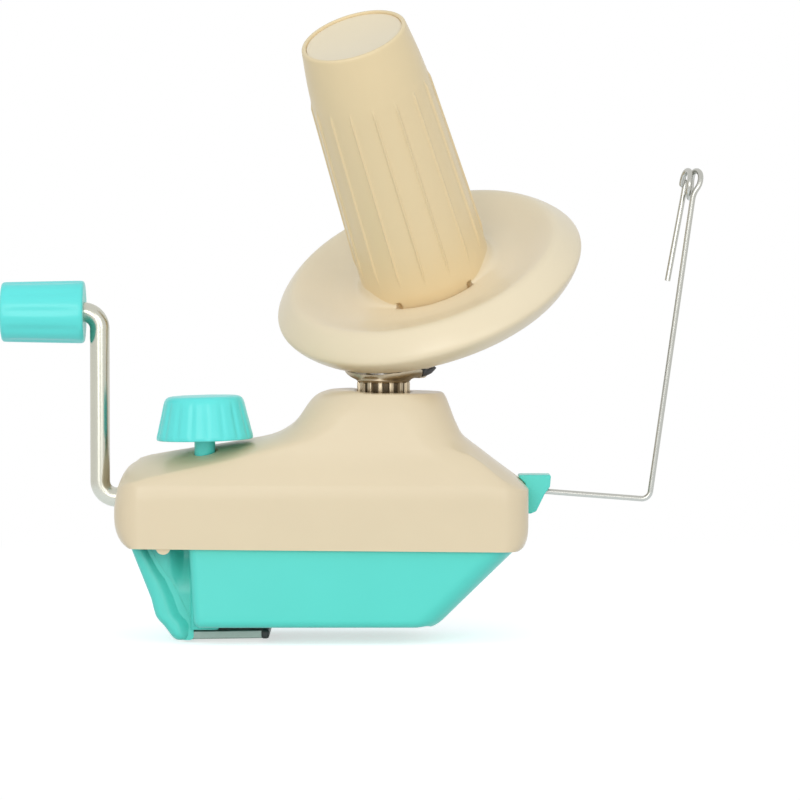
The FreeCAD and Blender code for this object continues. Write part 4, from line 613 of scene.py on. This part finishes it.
# Housing screws, pins and spring clips. Bright zinc-plated steel: four screws hold the tub, a cross pin keys
# the crown gear to the crank, and spring clips keep the turning parts from sliding off their shafts.
def metal(name, colour, low, high, stretch=(1, 1, 1), grain=900.0, spread=0.05, depth=0.000002):
    """Bare or plated metal: faint tone changes, uneven gloss and fine marks of how it was worked."""
    paint = bpy.data.materials.new(name)
    paint.use_nodes = True
    tree = paint.node_tree
    shader = tree.nodes["Principled BSDF"]
    shader.inputs["Metallic"].default_value = 1.0
    place = add_node(tree, "TexCoord").outputs["Object"]
    marks = noise(tree, place, grain, 3.0, stretch)
    patches = noise(tree, place, 130.0, 3.0)
    dark = [tone * (1 - spread) for tone in colour]
    light = [min(tone * (1 + spread), 1.0) for tone in colour]
    link_nodes(tree, (tinted(tree, patches, dark, light), shader.inputs["Base Color"]),
               (span(tree, marks, low, high), shader.inputs["Roughness"]),
               (bumps(tree, [(marks, depth)]), shader.inputs["Normal"]))
    return paint


zinc = metal("zinc_plate", (0.66, 0.66, 0.64), 0.26, 0.42, spread=0.09)
dress(zinc, "housing_screws", "crown_pin", "crank_clip", "grip_clip", "spindle_clip", "sun_gear_clip")


# Bushes. Short sleeves of sintered bronze, pressed into the housing, in which the crank and spindle turn.
# The metal is finely porous and holds its own oil.
bronze = metal("sintered_bronze", (0.52, 0.35, 0.18), 0.34, 0.55, grain=2600.0, spread=0.16, depth=0.00002)
dress(bronze, "foot_bush", "inner_crank_bush")
SPINDLE = 3.78
sleeve = turned_points([(SPINDLE, 61.5), (5.4, 61.5), (5.4, 69.2), (SPINDLE, 69.2)])
add_piece("hub_sleeve", grid_mesh("hub_sleeve", sleeve), bronze, "base", "bronze_bush", "hub_bush")
ROD = 3.05
sleeve = turned_points([(ROD, -79.2), (4.5, -79.2), (CRANK_HOLE, -78.9), (CRANK_HOLE, -74.2), (ROD, -74.2)],
                       about=(0, 0, CRANK_LEVEL), axis="X")
add_piece("crank_sleeve", grid_mesh("crank_sleeve", sleeve), bronze, "base", "bronze_bush", "crank_bush")


# Gear train. White acetal gears, moulded and left matt: a crown gear on the crank drives the spindle's
# pinion, and a fixed sun gear at the top rolls the spool's ring gear round.
acetal = moulded_plastic("white_acetal", (0.78, 0.78, 0.74), gloss=0.42, clouding=0.02)
dress(acetal, "drive_pinion", "crown_gear", "sun_gear")


# Centre post and spindle. Turned steel: the post stands still inside the hollow spindle, which carries the
# arm. Both keep the fine rings of the lathe.
turned_steel = metal("turned_steel", (0.60, 0.58, 0.54), 0.22, 0.36, (0.04, 0.04, 1), 2600.0, 0.05, 0.000004)
dress(turned_steel, "fixed_post", "hollow_spindle")


# Toothed collar. A short sintered steel ring under the carrier arm, with fourteen rounded teeth round its
# side. A dark core between the teeth paints the shade in their gaps.
TEETH, TOOTH_TIP, TOOTH_ROOT = 14, 8.05, 6.75
FIRST_GAP = math.radians(-84.5)
# The carrier steel's warm brown tone is partly the metal's own and partly painted reflection of the cream
# plastic around it.
warm_steel = metal("carrier_steel", (0.46, 0.385, 0.27), 0.34, 0.48, (1, 1, 0.3), 1400.0, 0.07, 0.000004)
angles = FIRST_GAP + math.tau * np.arange(TEETH * 16) / (TEETH * 16)
tooth = eased((0.5 - 0.5 * np.cos(TEETH * (angles - FIRST_GAP)) - 0.40) / 0.36)
rings = []
for level, tip, root in ((69.6, 4.0, 4.0), (69.6, 7.7, 6.6), (69.75, 7.95, TOOTH_ROOT),
                         (70.0, TOOTH_TIP, TOOTH_ROOT), (73.0, TOOTH_TIP, TOOTH_ROOT),
                         (73.3, 7.9, TOOTH_ROOT), (73.5, 7.5, 7.2), (74.2, 7.3, 7.2), (74.2, 4.0, 4.0),
                         (69.6, 4.0, 4.0)):
    rings.append(ring_at(angles, root + (tip - root) * tooth, level))
add_piece("ring_of_teeth", grid_mesh("ring_of_teeth", np.array(rings), 50), warm_steel, "carrier",
          "ground_steel", "toothed_collar")
# The dark core that shows between the teeth is painted shade.
shaded_gap_steel = metal("shaded_gap_steel", (0.115, 0.092, 0.060), 0.42, 0.58, (1, 1, 0.3), 1400.0, 0.15, 0.000006)
core = turned_points([(SPINDLE, 69.7), (6.95, 69.7), (7.05, 69.9), (7.05, 73.3), (6.9, 73.4),
                      (SPINDLE, 73.4)])
add_piece("collar_core", grid_mesh("collar_core", core), shaded_gap_steel, "carrier", "ground_steel")


# Carrier arm. Pressed from 1.3 mm sheet steel and riveted over the spindle: a shallow saucer that flares up
# from the collar, a riser at the back and a leaning seat plate for the spool's axle.
ARM_WAY = math.radians(239.0)
SHEET, FLAT = 1.3, 7.45
# The saucer's radius, and below it the share of its rise, go by degrees off the arm's way
SPREAD = [(0, 7.2), (18, 7.6), (40, 9.0), (60, 10.8), (76, 12.6), (92, 13.4), (106, 13.9), (126, 15.9),
          (140, 15.0), (160, 11.2), (180, 10.6)]
RISE = [(0.0, 73.0), (0.07, 73.75), (0.16, 74.15), (0.35, 74.55), (0.60, 75.05), (0.80, 75.6), (0.93, 76.3),
        (1.0, 77.4)]
RISE_SHARE = [(0, 0.40), (30, 0.46), (60, 0.64), (76, 0.86), (92, 1.0), (180, 1.0)]


def about_spindle(u, v, z):
    """A point given along and across the arm."""
    return (u * math.cos(ARM_WAY) - v * math.sin(ARM_WAY), u * math.sin(ARM_WAY) + v * math.cos(ARM_WAY), z)


def bent_path(corners, radius, steps=6):
    """Points on straight runs joined by round bends."""
    corners = [np.array(corner, float) for corner in corners]
    out = [corners[0]]
    for before, corner, after in zip(corners, corners[1:], corners[2:]):
        back = (before - corner) / np.linalg.norm(before - corner)
        ahead = (after - corner) / np.linalg.norm(after - corner)
        half = math.acos(np.clip(back @ ahead, -1, 1)) / 2
        reach = radius / math.tan(half)
        centre = corner + (back + ahead) / np.linalg.norm(back + ahead) * radius / math.sin(half)
        first, last = corner + back * reach - centre, corner + ahead * reach - centre
        turn = math.acos(np.clip(first @ last / radius ** 2, -1, 1))
        for i in range(steps + 1):
            share = i / steps
            out.append(centre + (math.sin((1 - share) * turn) * first + math.sin(share * turn) * last)
                       / math.sin(turn))
    out.append(corners[-1])
    return np.array(out)


turns = np.radians(np.arange(0, 360, 3.0))
off_way = np.degrees(np.abs((turns + math.pi) % math.tau - math.pi))
outer = np.interp(off_way, *zip(*SPREAD))
rings = [ring_at(turns + ARM_WAY, radius, level) for radius, level in ((3.9, 75.0), (6.6, 75.0), (7.2, 74.2))]
for share, level in curve_through(RISE, 3):
    radii = FLAT + (outer - 0.65 - FLAT) * share
    rise = (level - RISE[0][1]) * np.interp(off_way, *zip(*RISE_SHARE))
    rings.append(ring_at(turns + ARM_WAY, radii, RISE[0][1] + 0.6 + rise))
saucer = sheet_piece("saucer", np.array(rings), True, SHEET, 0.22)
RISER_OUT, SEAT_ROUND, SEAT_HALF = -9.9, 7.0, 10.0
path = bent_path([(-5.0, 75.0), (RISER_OUT, 75.0), (RISER_OUT, 85.05), (-41.4, 104.35)], 2.6)
strip = [start + (end - start) * t for start, end in zip(path, path[1:]) for t in np.linspace(0, 1, 5)[:-1]]
seat_way = (path[-2] - path[-1]) / np.linalg.norm(path[-2] - path[-1])
strip += [path[-1] + seat_way * from_end for from_end in (SEAT_ROUND, 5.0, 3.4, 2.0, 1.0, 0.3, 0.0)]
# First up the riser, then out along the seat
strip.sort(key=lambda spot: (spot[0] < RISER_OUT - 0.05, spot[1] if spot[0] > RISER_OUT - 0.05 else -spot[0]))
rows = []
for u, z in strip:
    from_end = min(math.dist((u, z), path[-1]), SEAT_ROUND)
    half = SEAT_HALF - (SEAT_ROUND - math.sqrt(SEAT_ROUND ** 2 - (SEAT_ROUND - from_end) ** 2))
    rows.append([about_spindle(u, half * t, z) for t in np.linspace(-1, 1, 13)])
riser = sheet_piece("riser", np.array(rows), False, SHEET, 0.22)
add_piece("pressed_arm", joined("pressed_arm", [saucer, riser], 35), warm_steel, "carrier", "ground_steel",
          "carrier_arm")


# Shade pad. A black pad over the arm's right ear, just under the flange, painted black for the deep
# shade under the flange there.
# The pad's black is painted shade.
shade_black = moulded_plastic("painted_shade_black", (0.014, 0.012, 0.009), gloss=0.60, clouding=0.2, bloom=0.00001)
PAD_FROM = 11.5
levels = curve_through(RISE, 3)
rows = []
for turn in np.radians(np.linspace(-30.0, 34.0, 23)):
    here = abs((math.degrees(turn - ARM_WAY) + 180) % 360 - 180)
    reach = np.interp(here, *zip(*SPREAD)) - 0.3
    inner_edge = PAD_FROM / math.cos(turn)
    radii = np.linspace(inner_edge, max(reach, inner_edge + 0.4), 7)
    heights = np.interp((radii - FLAT) / (reach - 0.35 - FLAT), *levels.T) + 0.6
    rows.append(ring_at(np.full(7, turn), radii, heights))
pad = sheet_piece("ear_pad", np.array(rows), False, SHEET + 0.5, 0.2)
add_piece("ear_pad", pad, shade_black, "carrier", "black_vinyl")


# Inclined axle. A turned steel pin riveted into the seat plate, on which the spool spins, with a nylon washer
# under the spool and a spring clip over it.
nylon = moulded_plastic("natural_nylon", (0.74, 0.73, 0.67), gloss=0.36, clouding=0.03)
dress(turned_steel, "inclined_axle")
dress(nylon, "axle_washer")
dress(zinc, "axle_clip")


# Spool tube. A tapering cream moulding with a rounded top, stiffened by sixteen hair-fine raised lines, and
# scooped at its foot where the yarn end is tucked in.
SPOOL = (Matrix.Translation((0, 0, 149.0)) @ Matrix.Rotation(ARM_WAY, 4, "Z")
         @ Matrix.Rotation(math.radians(31.5), 4, "Y"))
NOTCH, NOTCH_HALF = 35.2, 36.0
RIBS, RIB_TURN, RIB_HALF, RIB_HEIGHT = 16, math.radians(8.3), 0.58, 0.55
RIB_TOP, RIB_FOOT = 16.8, -42.2
SCOOP_DEPTH, PIT_DEPTH, AXLE = 0.35, 2.0, 3.05


def on_spool(points):
    """Move points from the spool's own axis to its leaning place."""
    matrix = np.array(SPOOL)
    return points @ matrix[:3, :3].T + matrix[:3, 3]


def from_notch(angles):
    """Degrees between each angle and the middle of the notch."""
    return np.abs((np.degrees(angles) - NOTCH + 180) % 360 - 180)


# Slightly lighter and yellower than the housing's cream: the extra lightness is painted light on the tube.
lit_ivory = moulded_plastic("lit_ivory_plastic", (0.800, 0.625, 0.360), gloss=0.34, clouding=0.02)
across = [-0.030, -0.021, -0.015, -0.010, -0.005, 0, 0.005, 0.010, 0.015, 0.021, 0.030, 0.06, 0.10, 0.145,
          0.19, 0.235, 0.28, 0.325, 0.36]
angles = [RIB_TURN + math.tau * i / RIBS + step for i in range(RIBS) for step in across]
for side in (-1, 1):
    angles += [math.radians(NOTCH + side * (NOTCH_HALF - 9.0 + step)) for step in np.arange(16) * 0.8]
angles = np.array(sorted(angle % math.tau for angle in angles))
levels = np.concatenate([[-52.2, -51.5], np.linspace(-50.8, -44.0, 12), np.linspace(-43.0, 14.0, 30),
                         np.linspace(14.6, 33.0, 26)])
wall = [(20.82, -52.2), (20.5, -49.9), (18.4, 12.0), (18.16, 17.0), (17.75, 22.0), (17.15, 27.0),
        (16.6, 31.0), (16.45, 32.2), (16.32, 33.0)]
radius_at = curve_through(wall, 8)
rings = []
for level in levels:
    radius = np.interp(level, radius_at[:, 1], radius_at[:, 0])
    fade = eased((level - RIB_FOOT) / 2.5) * eased((RIB_TOP - level) / 3.0)
    offset = (angles - RIB_TURN + math.pi / RIBS) % (math.tau / RIBS) - math.pi / RIBS
    ridge = RIB_HEIGHT * fade * eased(1 - np.abs(offset) * radius / RIB_HALF)
    inward = NOTCH_HALF - from_notch(angles)
    scoop = SCOOP_DEPTH * eased((-46.0 - level) / 4.0) * eased(inward / 8.0)
    pit = PIT_DEPTH * eased((inward + 0.5) / 1.2) * eased((6.0 - inward) / 5.0) * eased((-48.3 - level) / 1.4)
    rings.append(ring_at(angles, radius + ridge - scoop - pit, level))
mouth_and_inside = [(16.22, 33.35), (16.05, 33.6), (15.8, 33.76), (15.5, 33.8), (15.15, 33.76),
                    (14.98, 33.6), (14.9, 33.3), (14.9, 30.0), (13.6, 30.0), (13.6, 28.8), (15.4, 24.0),
                    (16.0, 18.0), (16.9, -4.0), (6.5, -4.0), (6.5, -1.0), (AXLE, -1.0), (AXLE, -9.0),
                    (6.5, -9.0), (6.5, -6.0), (17.0, -6.0), (18.3, -49.9), (18.3, -52.2)]
rings += [ring_at(angles, radius, level) for radius, level in mouth_and_inside]
rings.append(rings[0])
tube = grid_mesh("ribbed_tube", on_spool(np.array(rings)), 45)
add_piece("ribbed_tube", tube, lit_ivory, "spool", "cream_plastic", "spool_tube")


# Spool flange. A thick cream dish with a rolled rim and a deep skirt that covers the ring gear. It blends
# into the tube's foot all round but for a curved slit that holds the yarn end.
angles = [math.radians(NOTCH) + math.tau * i / 240 for i in range(240)]
for step in (-0.9, -0.35, -0.1, 0.1, 0.35, 0.9):
    angles += [math.radians(NOTCH + side * (NOTCH_HALF + step)) for side in (-1, 1)]
angles = np.array(sorted(angle % math.tau for angle in angles))
inside_notch = (from_notch(angles) < NOTCH_HALF).astype(float)
FOOT_CORNER = (20.5, -49.75)
foot_share = 0.22 + 0.78 * eased((from_notch(angles) - NOTCH_HALF) / 34.0)
plain_foot = [(18.6, -50.6), (19.6, -46.6), (20.30, -46.0), (20.52, -46.6), (20.72, -47.4), (21.05, -48.2),
              (21.6, -48.95), (22.4, -49.45), (23.5, -49.7), (25.0, -49.72)]
slit_foot = [(18.4, -51.6), (19.2, -51.6), (20.0, -51.6), (20.6, -51.6), (20.98, -51.5), (21.05, -50.6),
             (21.15, -50.0), (21.5, -49.8), (23.0, -49.75), (25.0, -49.72)]
rings = []
for plain, slit in zip(plain_foot, slit_foot):
    low = [FOOT_CORNER[k] + (plain[k] - FOOT_CORNER[k]) * foot_share for k in (0, 1)]
    rings.append(ring_at(angles, *(low[k] + (slit[k] - low[k]) * inside_notch for k in (0, 1))))
rim = curve_through([(25.0, -49.72), (30.0, -49.2), (35.0, -47.7), (38.4, -46.4), (40.6, -45.7),
                     (42.0, -45.65), (43.4, -46.2), (45.6, -48.0), (47.4, -49.9), (48.4, -51.3),
                     (48.75, -52.4), (48.4, -53.6), (47.1, -55.6), (45.3, -57.6), (44.2, -58.6),
                     (43.4, -58.95)], 4)[1:]
underside = [(43.0, -58.9), (42.75, -58.6), (42.75, -58.2), (45.9, -54.2), (45.9, -52.3), (45.5, -51.9),
             (6.5, -51.9), (6.5, -58.2), (AXLE, -58.2), (AXLE, -46.0), (6.5, -46.0), (6.5, -49.9),
             (16.6, -49.9), (16.6, -46.9), (18.2, -46.9), (18.2, -50.2)]
rings += [ring_at(angles, radius, level) for radius, level in (*rim, *underside)]
rings.append(rings[0])
flange = grid_mesh("dished_flange", on_spool(np.array(rings)), 45)
# A lighter copy of the housing's cream for the flange and cap: its extra lightness is painted light.
lit_pale_cream = moulded_plastic("lit_pale_cream_plastic", (0.830, 0.685, 0.460))
add_piece("dished_flange", flange, lit_pale_cream, "spool", "cream_plastic", "spool_flange")


# Spool cap and ring gear. The cap is a dished cream disc pressed into the tube's top. The bevel ring gear of
# white acetal has 84 teeth, sits inside the flange's skirt and shows only from below.
cap_profile = [(0.01, 31.75), (4.0, 31.85), (8.0, 32.15), (11.5, 32.62), (13.4, 32.95), (14.3, 33.12),
               (14.75, 33.1), (14.85, 32.9), (14.85, 30.0), (13.5, 30.0), (13.5, 28.2), (12.2, 28.2),
               (12.2, 30.4), (0.01, 30.4)]
cap = grid_mesh("dished_cap", on_spool(turned_points(cap_profile, 96, closed=False)), 45)
add_piece("dished_cap", cap, lit_pale_cream, "spool", "cream_plastic", "spool_cap")
RING_TEETH, RING_TOP, RING_BOTTOM, RING_RIM = 84, 51.95, 55.2, 45.7
TIP_CONE, ROOT_CONE = math.radians(36.84), math.radians(37.957)
turns = np.arange(RING_TEETH * 12) * math.tau / (RING_TEETH * 12)
tooth = eased((np.cos(RING_TEETH * turns) + 0.25) / 0.75)
rings = []
for level in (RING_TOP, 53.0, 54.1, RING_BOTTOM):
    reach = level * (math.tan(ROOT_CONE) + (math.tan(TIP_CONE) - math.tan(ROOT_CONE)) * tooth)
    rings.append(ring_at(turns, reach, -level))
rings += [ring_at(turns, 44.6, -RING_BOTTOM), ring_at(turns, RING_RIM, -54.0),
          ring_at(turns, RING_RIM, -RING_TOP)]
rings.append(rings[0])
add_piece("bevel_ring_gear", grid_mesh("bevel_ring_gear", on_spool(np.array(rings)), 35), acetal, "spool",
          "white_gear", "spool_ring_gear")


# Crank rod. Bright nickel-plated steel, 6 mm, bent twice: a shaft through the housing, a tall arm and a
# stub for the grip. The plating is smooth, with faint marks drawn along the rod.
nickel = metal("nickel_plate", (0.57, 0.565, 0.485), 0.18, 0.27, (1, 1, 0.05), 700.0, 0.03, 0.0000015)
dress(nickel, "crank_rod")


# Handle grip. A smooth turquoise sleeve, moulded with ten soft flutes and open at its outer end, that turns
# on the crank's stub.
GRIP_LEVEL, GRIP_FLUTES, FLUTE_DEPTH = 94.5, 10, 0.30
grip_profile = [(ROD, -91.4), (8.5, -91.1), (8.95, -91.15), (9.3, -91.4), (9.5, -91.85), (9.54, -92.6),
                (9.5, -96.0), (9.42, -100.0), (9.34, -104.0), (9.26, -108.0), (9.18, -112.0),
                (9.12, -114.8), (9.08, -115.5), (8.88, -115.95), (8.5, -116.2), (7.6, -116.25),
                (6.85, -116.15), (6.5, -115.8), (6.4, -115.3), (6.3, -112.8), (ROD, -112.8)]
rings = turned_points(grip_profile, 200, (0, 0, GRIP_LEVEL), "X")
for k, (radius, level) in enumerate(grip_profile):
    if radius > 7.9:
        along = min(-91.4 - level, level + 116.2)
        turn = np.arctan2(rings[k, :, 2] - GRIP_LEVEL, rings[k, :, 1])
        wave = np.clip(0.5 + 0.5 * np.cos(GRIP_FLUTES * turn + 0.5), 0, 1) ** 2
        shrink = 1 - FLUTE_DEPTH * float(eased(along / 3.0)) * wave / radius
        rings[k, :, 1] *= shrink
        rings[k, :, 2] = GRIP_LEVEL + (rings[k, :, 2] - GRIP_LEVEL) * shrink
grip = grid_mesh("fluted_grip", rings, 55)
# A lighter copy of the tub's turquoise for the grip and knob: its extra lightness is painted light.
lit_turquoise = moulded_plastic("lit_turquoise_plastic", (0.118, 0.742, 0.668))
add_piece("fluted_grip", grip, lit_turquoise, "grip", "teal_plastic", "handle_grip")


# Clamp knob. A turquoise moulding pressed on the clamp screw, with eighteen soft flutes and a rounded top. It
# sits about one and a half degrees askew on its stem, as they do once worn.
KNOB_FLUTES, KNOB_LEAN, LEAN_LEVEL, STEM = 18, math.radians(-1.4), 58.0, 3.15
SCREW_BORE = 2.46
knob_profile = [(SCREW_BORE, 56.2), (STEM, 56.2), (STEM, 57.8), (12.6, 57.8), (12.6, 56.2), (14.1, 56.2),
                (14.45, 56.35), (14.58, 56.7), (14.5, 57.6), (14.0, 59.5), (13.55, 61.5), (13.05, 63.5),
                (12.6, 65.5), (12.25, 67.0), (11.95, 68.0), (11.45, 68.75), (10.75, 69.2), (9.9, 69.38),
                (6.0, 69.5), (0.01, 69.55), (0.01, 62.4), (SCREW_BORE, 62.4)]
rings = turned_points(knob_profile, 288)
for k, (radius, level) in enumerate(knob_profile):
    if radius > 11.9 and level > 56.3:
        turn = np.arctan2(rings[k, :, 1], rings[k, :, 0])
        wave = np.clip(0.5 + 0.5 * np.cos(KNOB_FLUTES * turn + 1.2), 0, 1) ** 3
        depth = FLUTE_DEPTH * float(eased((68.3 - level) / 2.5)) * float(eased((level - 56.2) / 1.2))
        rings[k, :, :2] *= (1 - depth * wave / radius)[:, None]
tilt = np.array(Matrix.Rotation(KNOB_LEAN, 3, "Y"))
pivot = np.array([0, 0, LEAN_LEVEL])
rings = (rings - pivot) @ tilt.T + pivot + np.array([*KNOB_PLACE, 0])
head = grid_mesh("knob_head", rings, 50)
stem = turned_points([(SCREW_BORE, 47.3), (3.0, 47.3), (STEM, 47.5), (STEM, 58.2), (SCREW_BORE, 58.2)], 48,
                     (*KNOB_PLACE, 0))
knob = joined("fluted_knob", [head, grid_mesh("knob_stem", stem, 50)], 50)
# The knob takes the lighter turquoise copy, which paints light on it.
add_piece("fluted_knob", knob, lit_turquoise, "knob", "teal_plastic", "clamp_knob")


# Clamp screw. A zinc-plated M5 screw with a 0.8 mm thread, hung from the housing's shelf by a clip over a
# nylon washer. Its captive nut lies in the jaw's block.
SCREW, PITCH, THREAD_DEPTH, SCREW_FOOT, THREAD_END = 2.45, 0.8, 0.32, 7.0, 46.0
turns = np.arange(20) * math.tau / 20
rings = []
for level in np.arange(SCREW_FOOT, 56.05, 0.1):
    phase = (level / PITCH - turns / math.tau) % 1.0
    groove = np.clip(1 - abs(phase - 0.5) / 0.36, 0, 1) * (level < THREAD_END)
    taper = 0.35 * max(0.0, 1 - (level - SCREW_FOOT) / 0.6)
    rings.append(ring_at(turns, SCREW - THREAD_DEPTH * groove - taper, level) + np.array([*KNOB_PLACE, 0]))
add_piece("threaded_screw", grid_mesh("threaded_screw", np.array(rings), 60, True), zinc, "knob",
          "zinc_steel", "clamp_screw")
dress(nylon, "thrust_washer")
dress(zinc, "screw_clip", "clamp_nut")


# Clamp jaw. A turquoise moulding that slides in the tub: a slanting leg with a rounded front edge and toe,
# a web and a rib behind it, and a square block that holds the captive nut.
LEG_LEFT = [(-4.4, -60.0), (-4.3, -60.9), (-3.9, -61.8), (-2.6, -63.1), (0.0, -65.0), (1.2, -66.0),
            (2.2, -67.0), (3.4, -67.85), (5.6, -68.5), (8.5, -69.2), (23.7, -75.2)]
LEG_RIGHT = [(-4.4, -58.6), (-4.2, -57.9), (-3.6, -57.4), (0.2, -57.4), (1.2, -57.9), (8.0, -61.2),
             (13.7, -64.1), (16.6, -66.3), (21.3, -69.2), (23.7, -70.4)]
VALLEY = [(-4.9, 1.9), (-3.0, 4.4), (0.0, 7.4), (1.2, 7.9), (8.0, 6.9), (13.7, 6.4), (16.6, 5.0),
          (21.3, 4.0), (23.7, 3.6)]
FRONT, BACK, FOLD, RECESS_DEPTH, FRONT_SHEET = -16.0, 16.0, 2.0, 3.6, 2.2


def rounded_off(distance, radius):
    """How far a rounded edge falls back at a distance from its end."""
    return radius - np.sqrt(radius ** 2 - np.clip(radius - distance, 0, radius) ** 2)


def leg_ring(y):
    """The leg's outline at one depth, down its outer edge and up its inner one."""
    heights = np.concatenate([np.linspace(23.7, -3.5, 34), [-3.9, -4.2, -4.35, -4.4]])
    outer_edge = np.interp(heights, *zip(*LEG_LEFT))
    inner_edge = np.interp(heights, *zip(*LEG_RIGHT))
    tuck = float(rounded_off(BACK - y, 1.3))
    ring = [(x + tuck, y, z) for x, z in zip(outer_edge, heights)]
    return ring + [(x - tuck, y, z) for x, z in reversed(list(zip(inner_edge, heights)))]


depths = (*np.linspace(-14.2, 14.0, 12), 14.7, 15.2, 15.6, 15.85, BACK)
plates = [grid_mesh("leg", np.array([leg_ring(y) for y in depths]), 50, True)]
rows = []
for z in (23.7, 23.4, *np.linspace(23.0, -2.0, 68), -2.3, -2.55, -2.8, -2.95, -3.1, -3.2, -3.27, -3.3):
    left = np.interp(z, *zip(*LEG_LEFT))
    right = -57.0 if z > 0.4 else np.interp(z, *zip(*LEG_RIGHT))
    along = (right - left) * (np.linspace(0, 1, 56) ** 1.25)
    valley = np.interp(z, *zip(*VALLEY))
    depth = rounded_off(along, 1.5) + FOLD * eased((along / valley - 0.30) / 0.62) + rounded_off(z + 3.3, 1.2)
    under_tub = eased((left + along + 65.5) / 5.0) * eased((z - 9.5) / 12.0)
    depth += RECESS_DEPTH * under_tub * eased((along - valley) / 2.0)
    rows.append(np.stack([left + along, FRONT + depth + FRONT_SHEET / 2, np.full(len(along), z)], 1))
plates.append(sheet_piece("leg_front", np.array(rows), False, FRONT_SHEET, 0.3))
rows = [[(x, 10.0, z) for x in np.linspace(np.interp(z, *zip(*LEG_RIGHT)) - 1.2, -59.1, 5)]
        for z in np.linspace(0.4, 23.6, 9)]
plates.append(sheet_piece("rear_web", np.array(rows), False, 4.0, 0.5))


def block_ring(half, z):
    """The block's rounded square at one height, round the clamp screw."""
    inner = half - BLOCK_CORNER
    ring = []
    for k, (sx, sy) in enumerate(((1, 1), (-1, 1), (-1, -1), (1, -1))):
        for turn in math.pi / 2 * (k + np.arange(7) / 6):
            ring.append((KNOB_PLACE[0] + sx * inner + BLOCK_CORNER * math.cos(turn),
                         KNOB_PLACE[1] + sy * inner + BLOCK_CORNER * math.sin(turn), z))
    return ring


BLOCK_CORNER, SCREW_WAY, NUT_POCKET = 1.2, 2.8, 4.65
rings = [block_ring(half, z) for half, z in ((3.7, -1.2), (4.15, -1.0), (4.3, -0.6), (4.3, 27.0), (6.2, 31.0),
                                             (6.2, 42.2), (6.0, 42.7), (5.5, 43.0))]
block = placed("block", grid_mesh("block", np.array(rings), 50, True))
cut_hole(block, (*KNOB_PLACE, 22.9), SCREW_WAY, 44.0, "Z")
cut_hole(block, (*KNOB_PLACE, 42.0), NUT_POCKET, 7.0, "Z")
jaw = joined("slanting_jaw", [*plates, loose_mesh(block)], 45)
add_piece("slanting_jaw", jaw, turquoise, "jaw", "teal_plastic", "clamp_jaw")


# Jaw plate. A flat nickel-plated steel tongue, riveted under the jaw, that presses up against the table's
# underside. Its dark, greenish tone is painted shade from the tub above and painted teal reflection. A black
# tip covers its end.
# Dark greenish base colour: painted shade and painted teal reflection on the plated steel.
shaded_plate_steel = metal("shaded_plate_steel", (0.22, 0.28, 0.25), 0.38, 0.52, (1, 0.08, 1), 1100.0, 0.06, 0.000005)
vinyl = moulded_plastic("black_vinyl", (0.022, 0.030, 0.028), gloss=0.44, clouding=0.2, bloom=0.00001)
for name, material, slot, node, thickness, edge, half, stations in (
    ("plate_tongue", shaded_plate_steel, "zinc_steel", "jaw_plate", 2.5, 0.3, 14.0,
     [(-60.6, -2.95), (-58.0, -2.9), (-50.0, -2.8), (-42.0, -2.7), (-36.2, -2.6)]),
    ("dipped_tip", vinyl, "black_vinyl", "plate_tip", 2.85, 0.75, 14.35,
     [(-37.1, -2.6), (-36.0, -2.58), (-34.55, -2.55)]),
):
    rows = [[(x, half * t, z) for t in np.linspace(-1, 1, 15)] for x, z in stations]
    add_piece(name, sheet_piece(name, np.array(rows), False, thickness, edge), material, "jaw", slot, node)
dress(zinc, "jaw_rivets")


# Guide bracket. A small turquoise nose, moulded solid and screwed to the housing's right end from inside,
# with rounded edges.
outline = bent_path([(43.0, 33.2), (44.9, 33.2), (46.5, 33.9), (49.0, 39.0), (50.7, 41.4), (51.0, 45.0),
                     (40.4, 45.0), (43.0, 42.4), (43.55, 39.0), (43.6, 35.0), (43.0, 33.2)], 0.55, 4)[:-1]
normals = np.roll(outline, -1, 0) - np.roll(outline, 1, 0)
normals = np.stack([normals[:, 1], -normals[:, 0]], 1) / np.linalg.norm(normals, axis=1)[:, None]
rings = []
for depth, inset in ((-5.0, 0.42), (-4.95, 0.24), (-4.8, 0.1), (-4.6, 0.02), (-4.3, 0.0), (4.3, 0.0),
                     (4.6, 0.02), (4.8, 0.1), (4.95, 0.24), (5.0, 0.42)):
    spots = outline - normals * inset
    rings.append(np.stack([spots[:, 0], np.full(len(spots), depth), spots[:, 1]], 1))
bracket = grid_mesh("guide_nose", np.array(rings), 50, True)
add_piece("guide_nose", bracket, turquoise, "base", "teal_plastic", "guide_bracket")
dress(zinc, "bracket_screw")


# Guide wire. Spring steel wire, 1.7 mm thick, bent by hand: a run out of the bracket, a riser, and an open
# eye of one and a half turns that the yarn passes through.
spring_wire = metal("spring_wire", (0.50, 0.50, 0.46), 0.20, 0.30, (1, 1, 1), 260.0, 0.04, 0.0000005)
dress(spring_wire, "guide_wire")
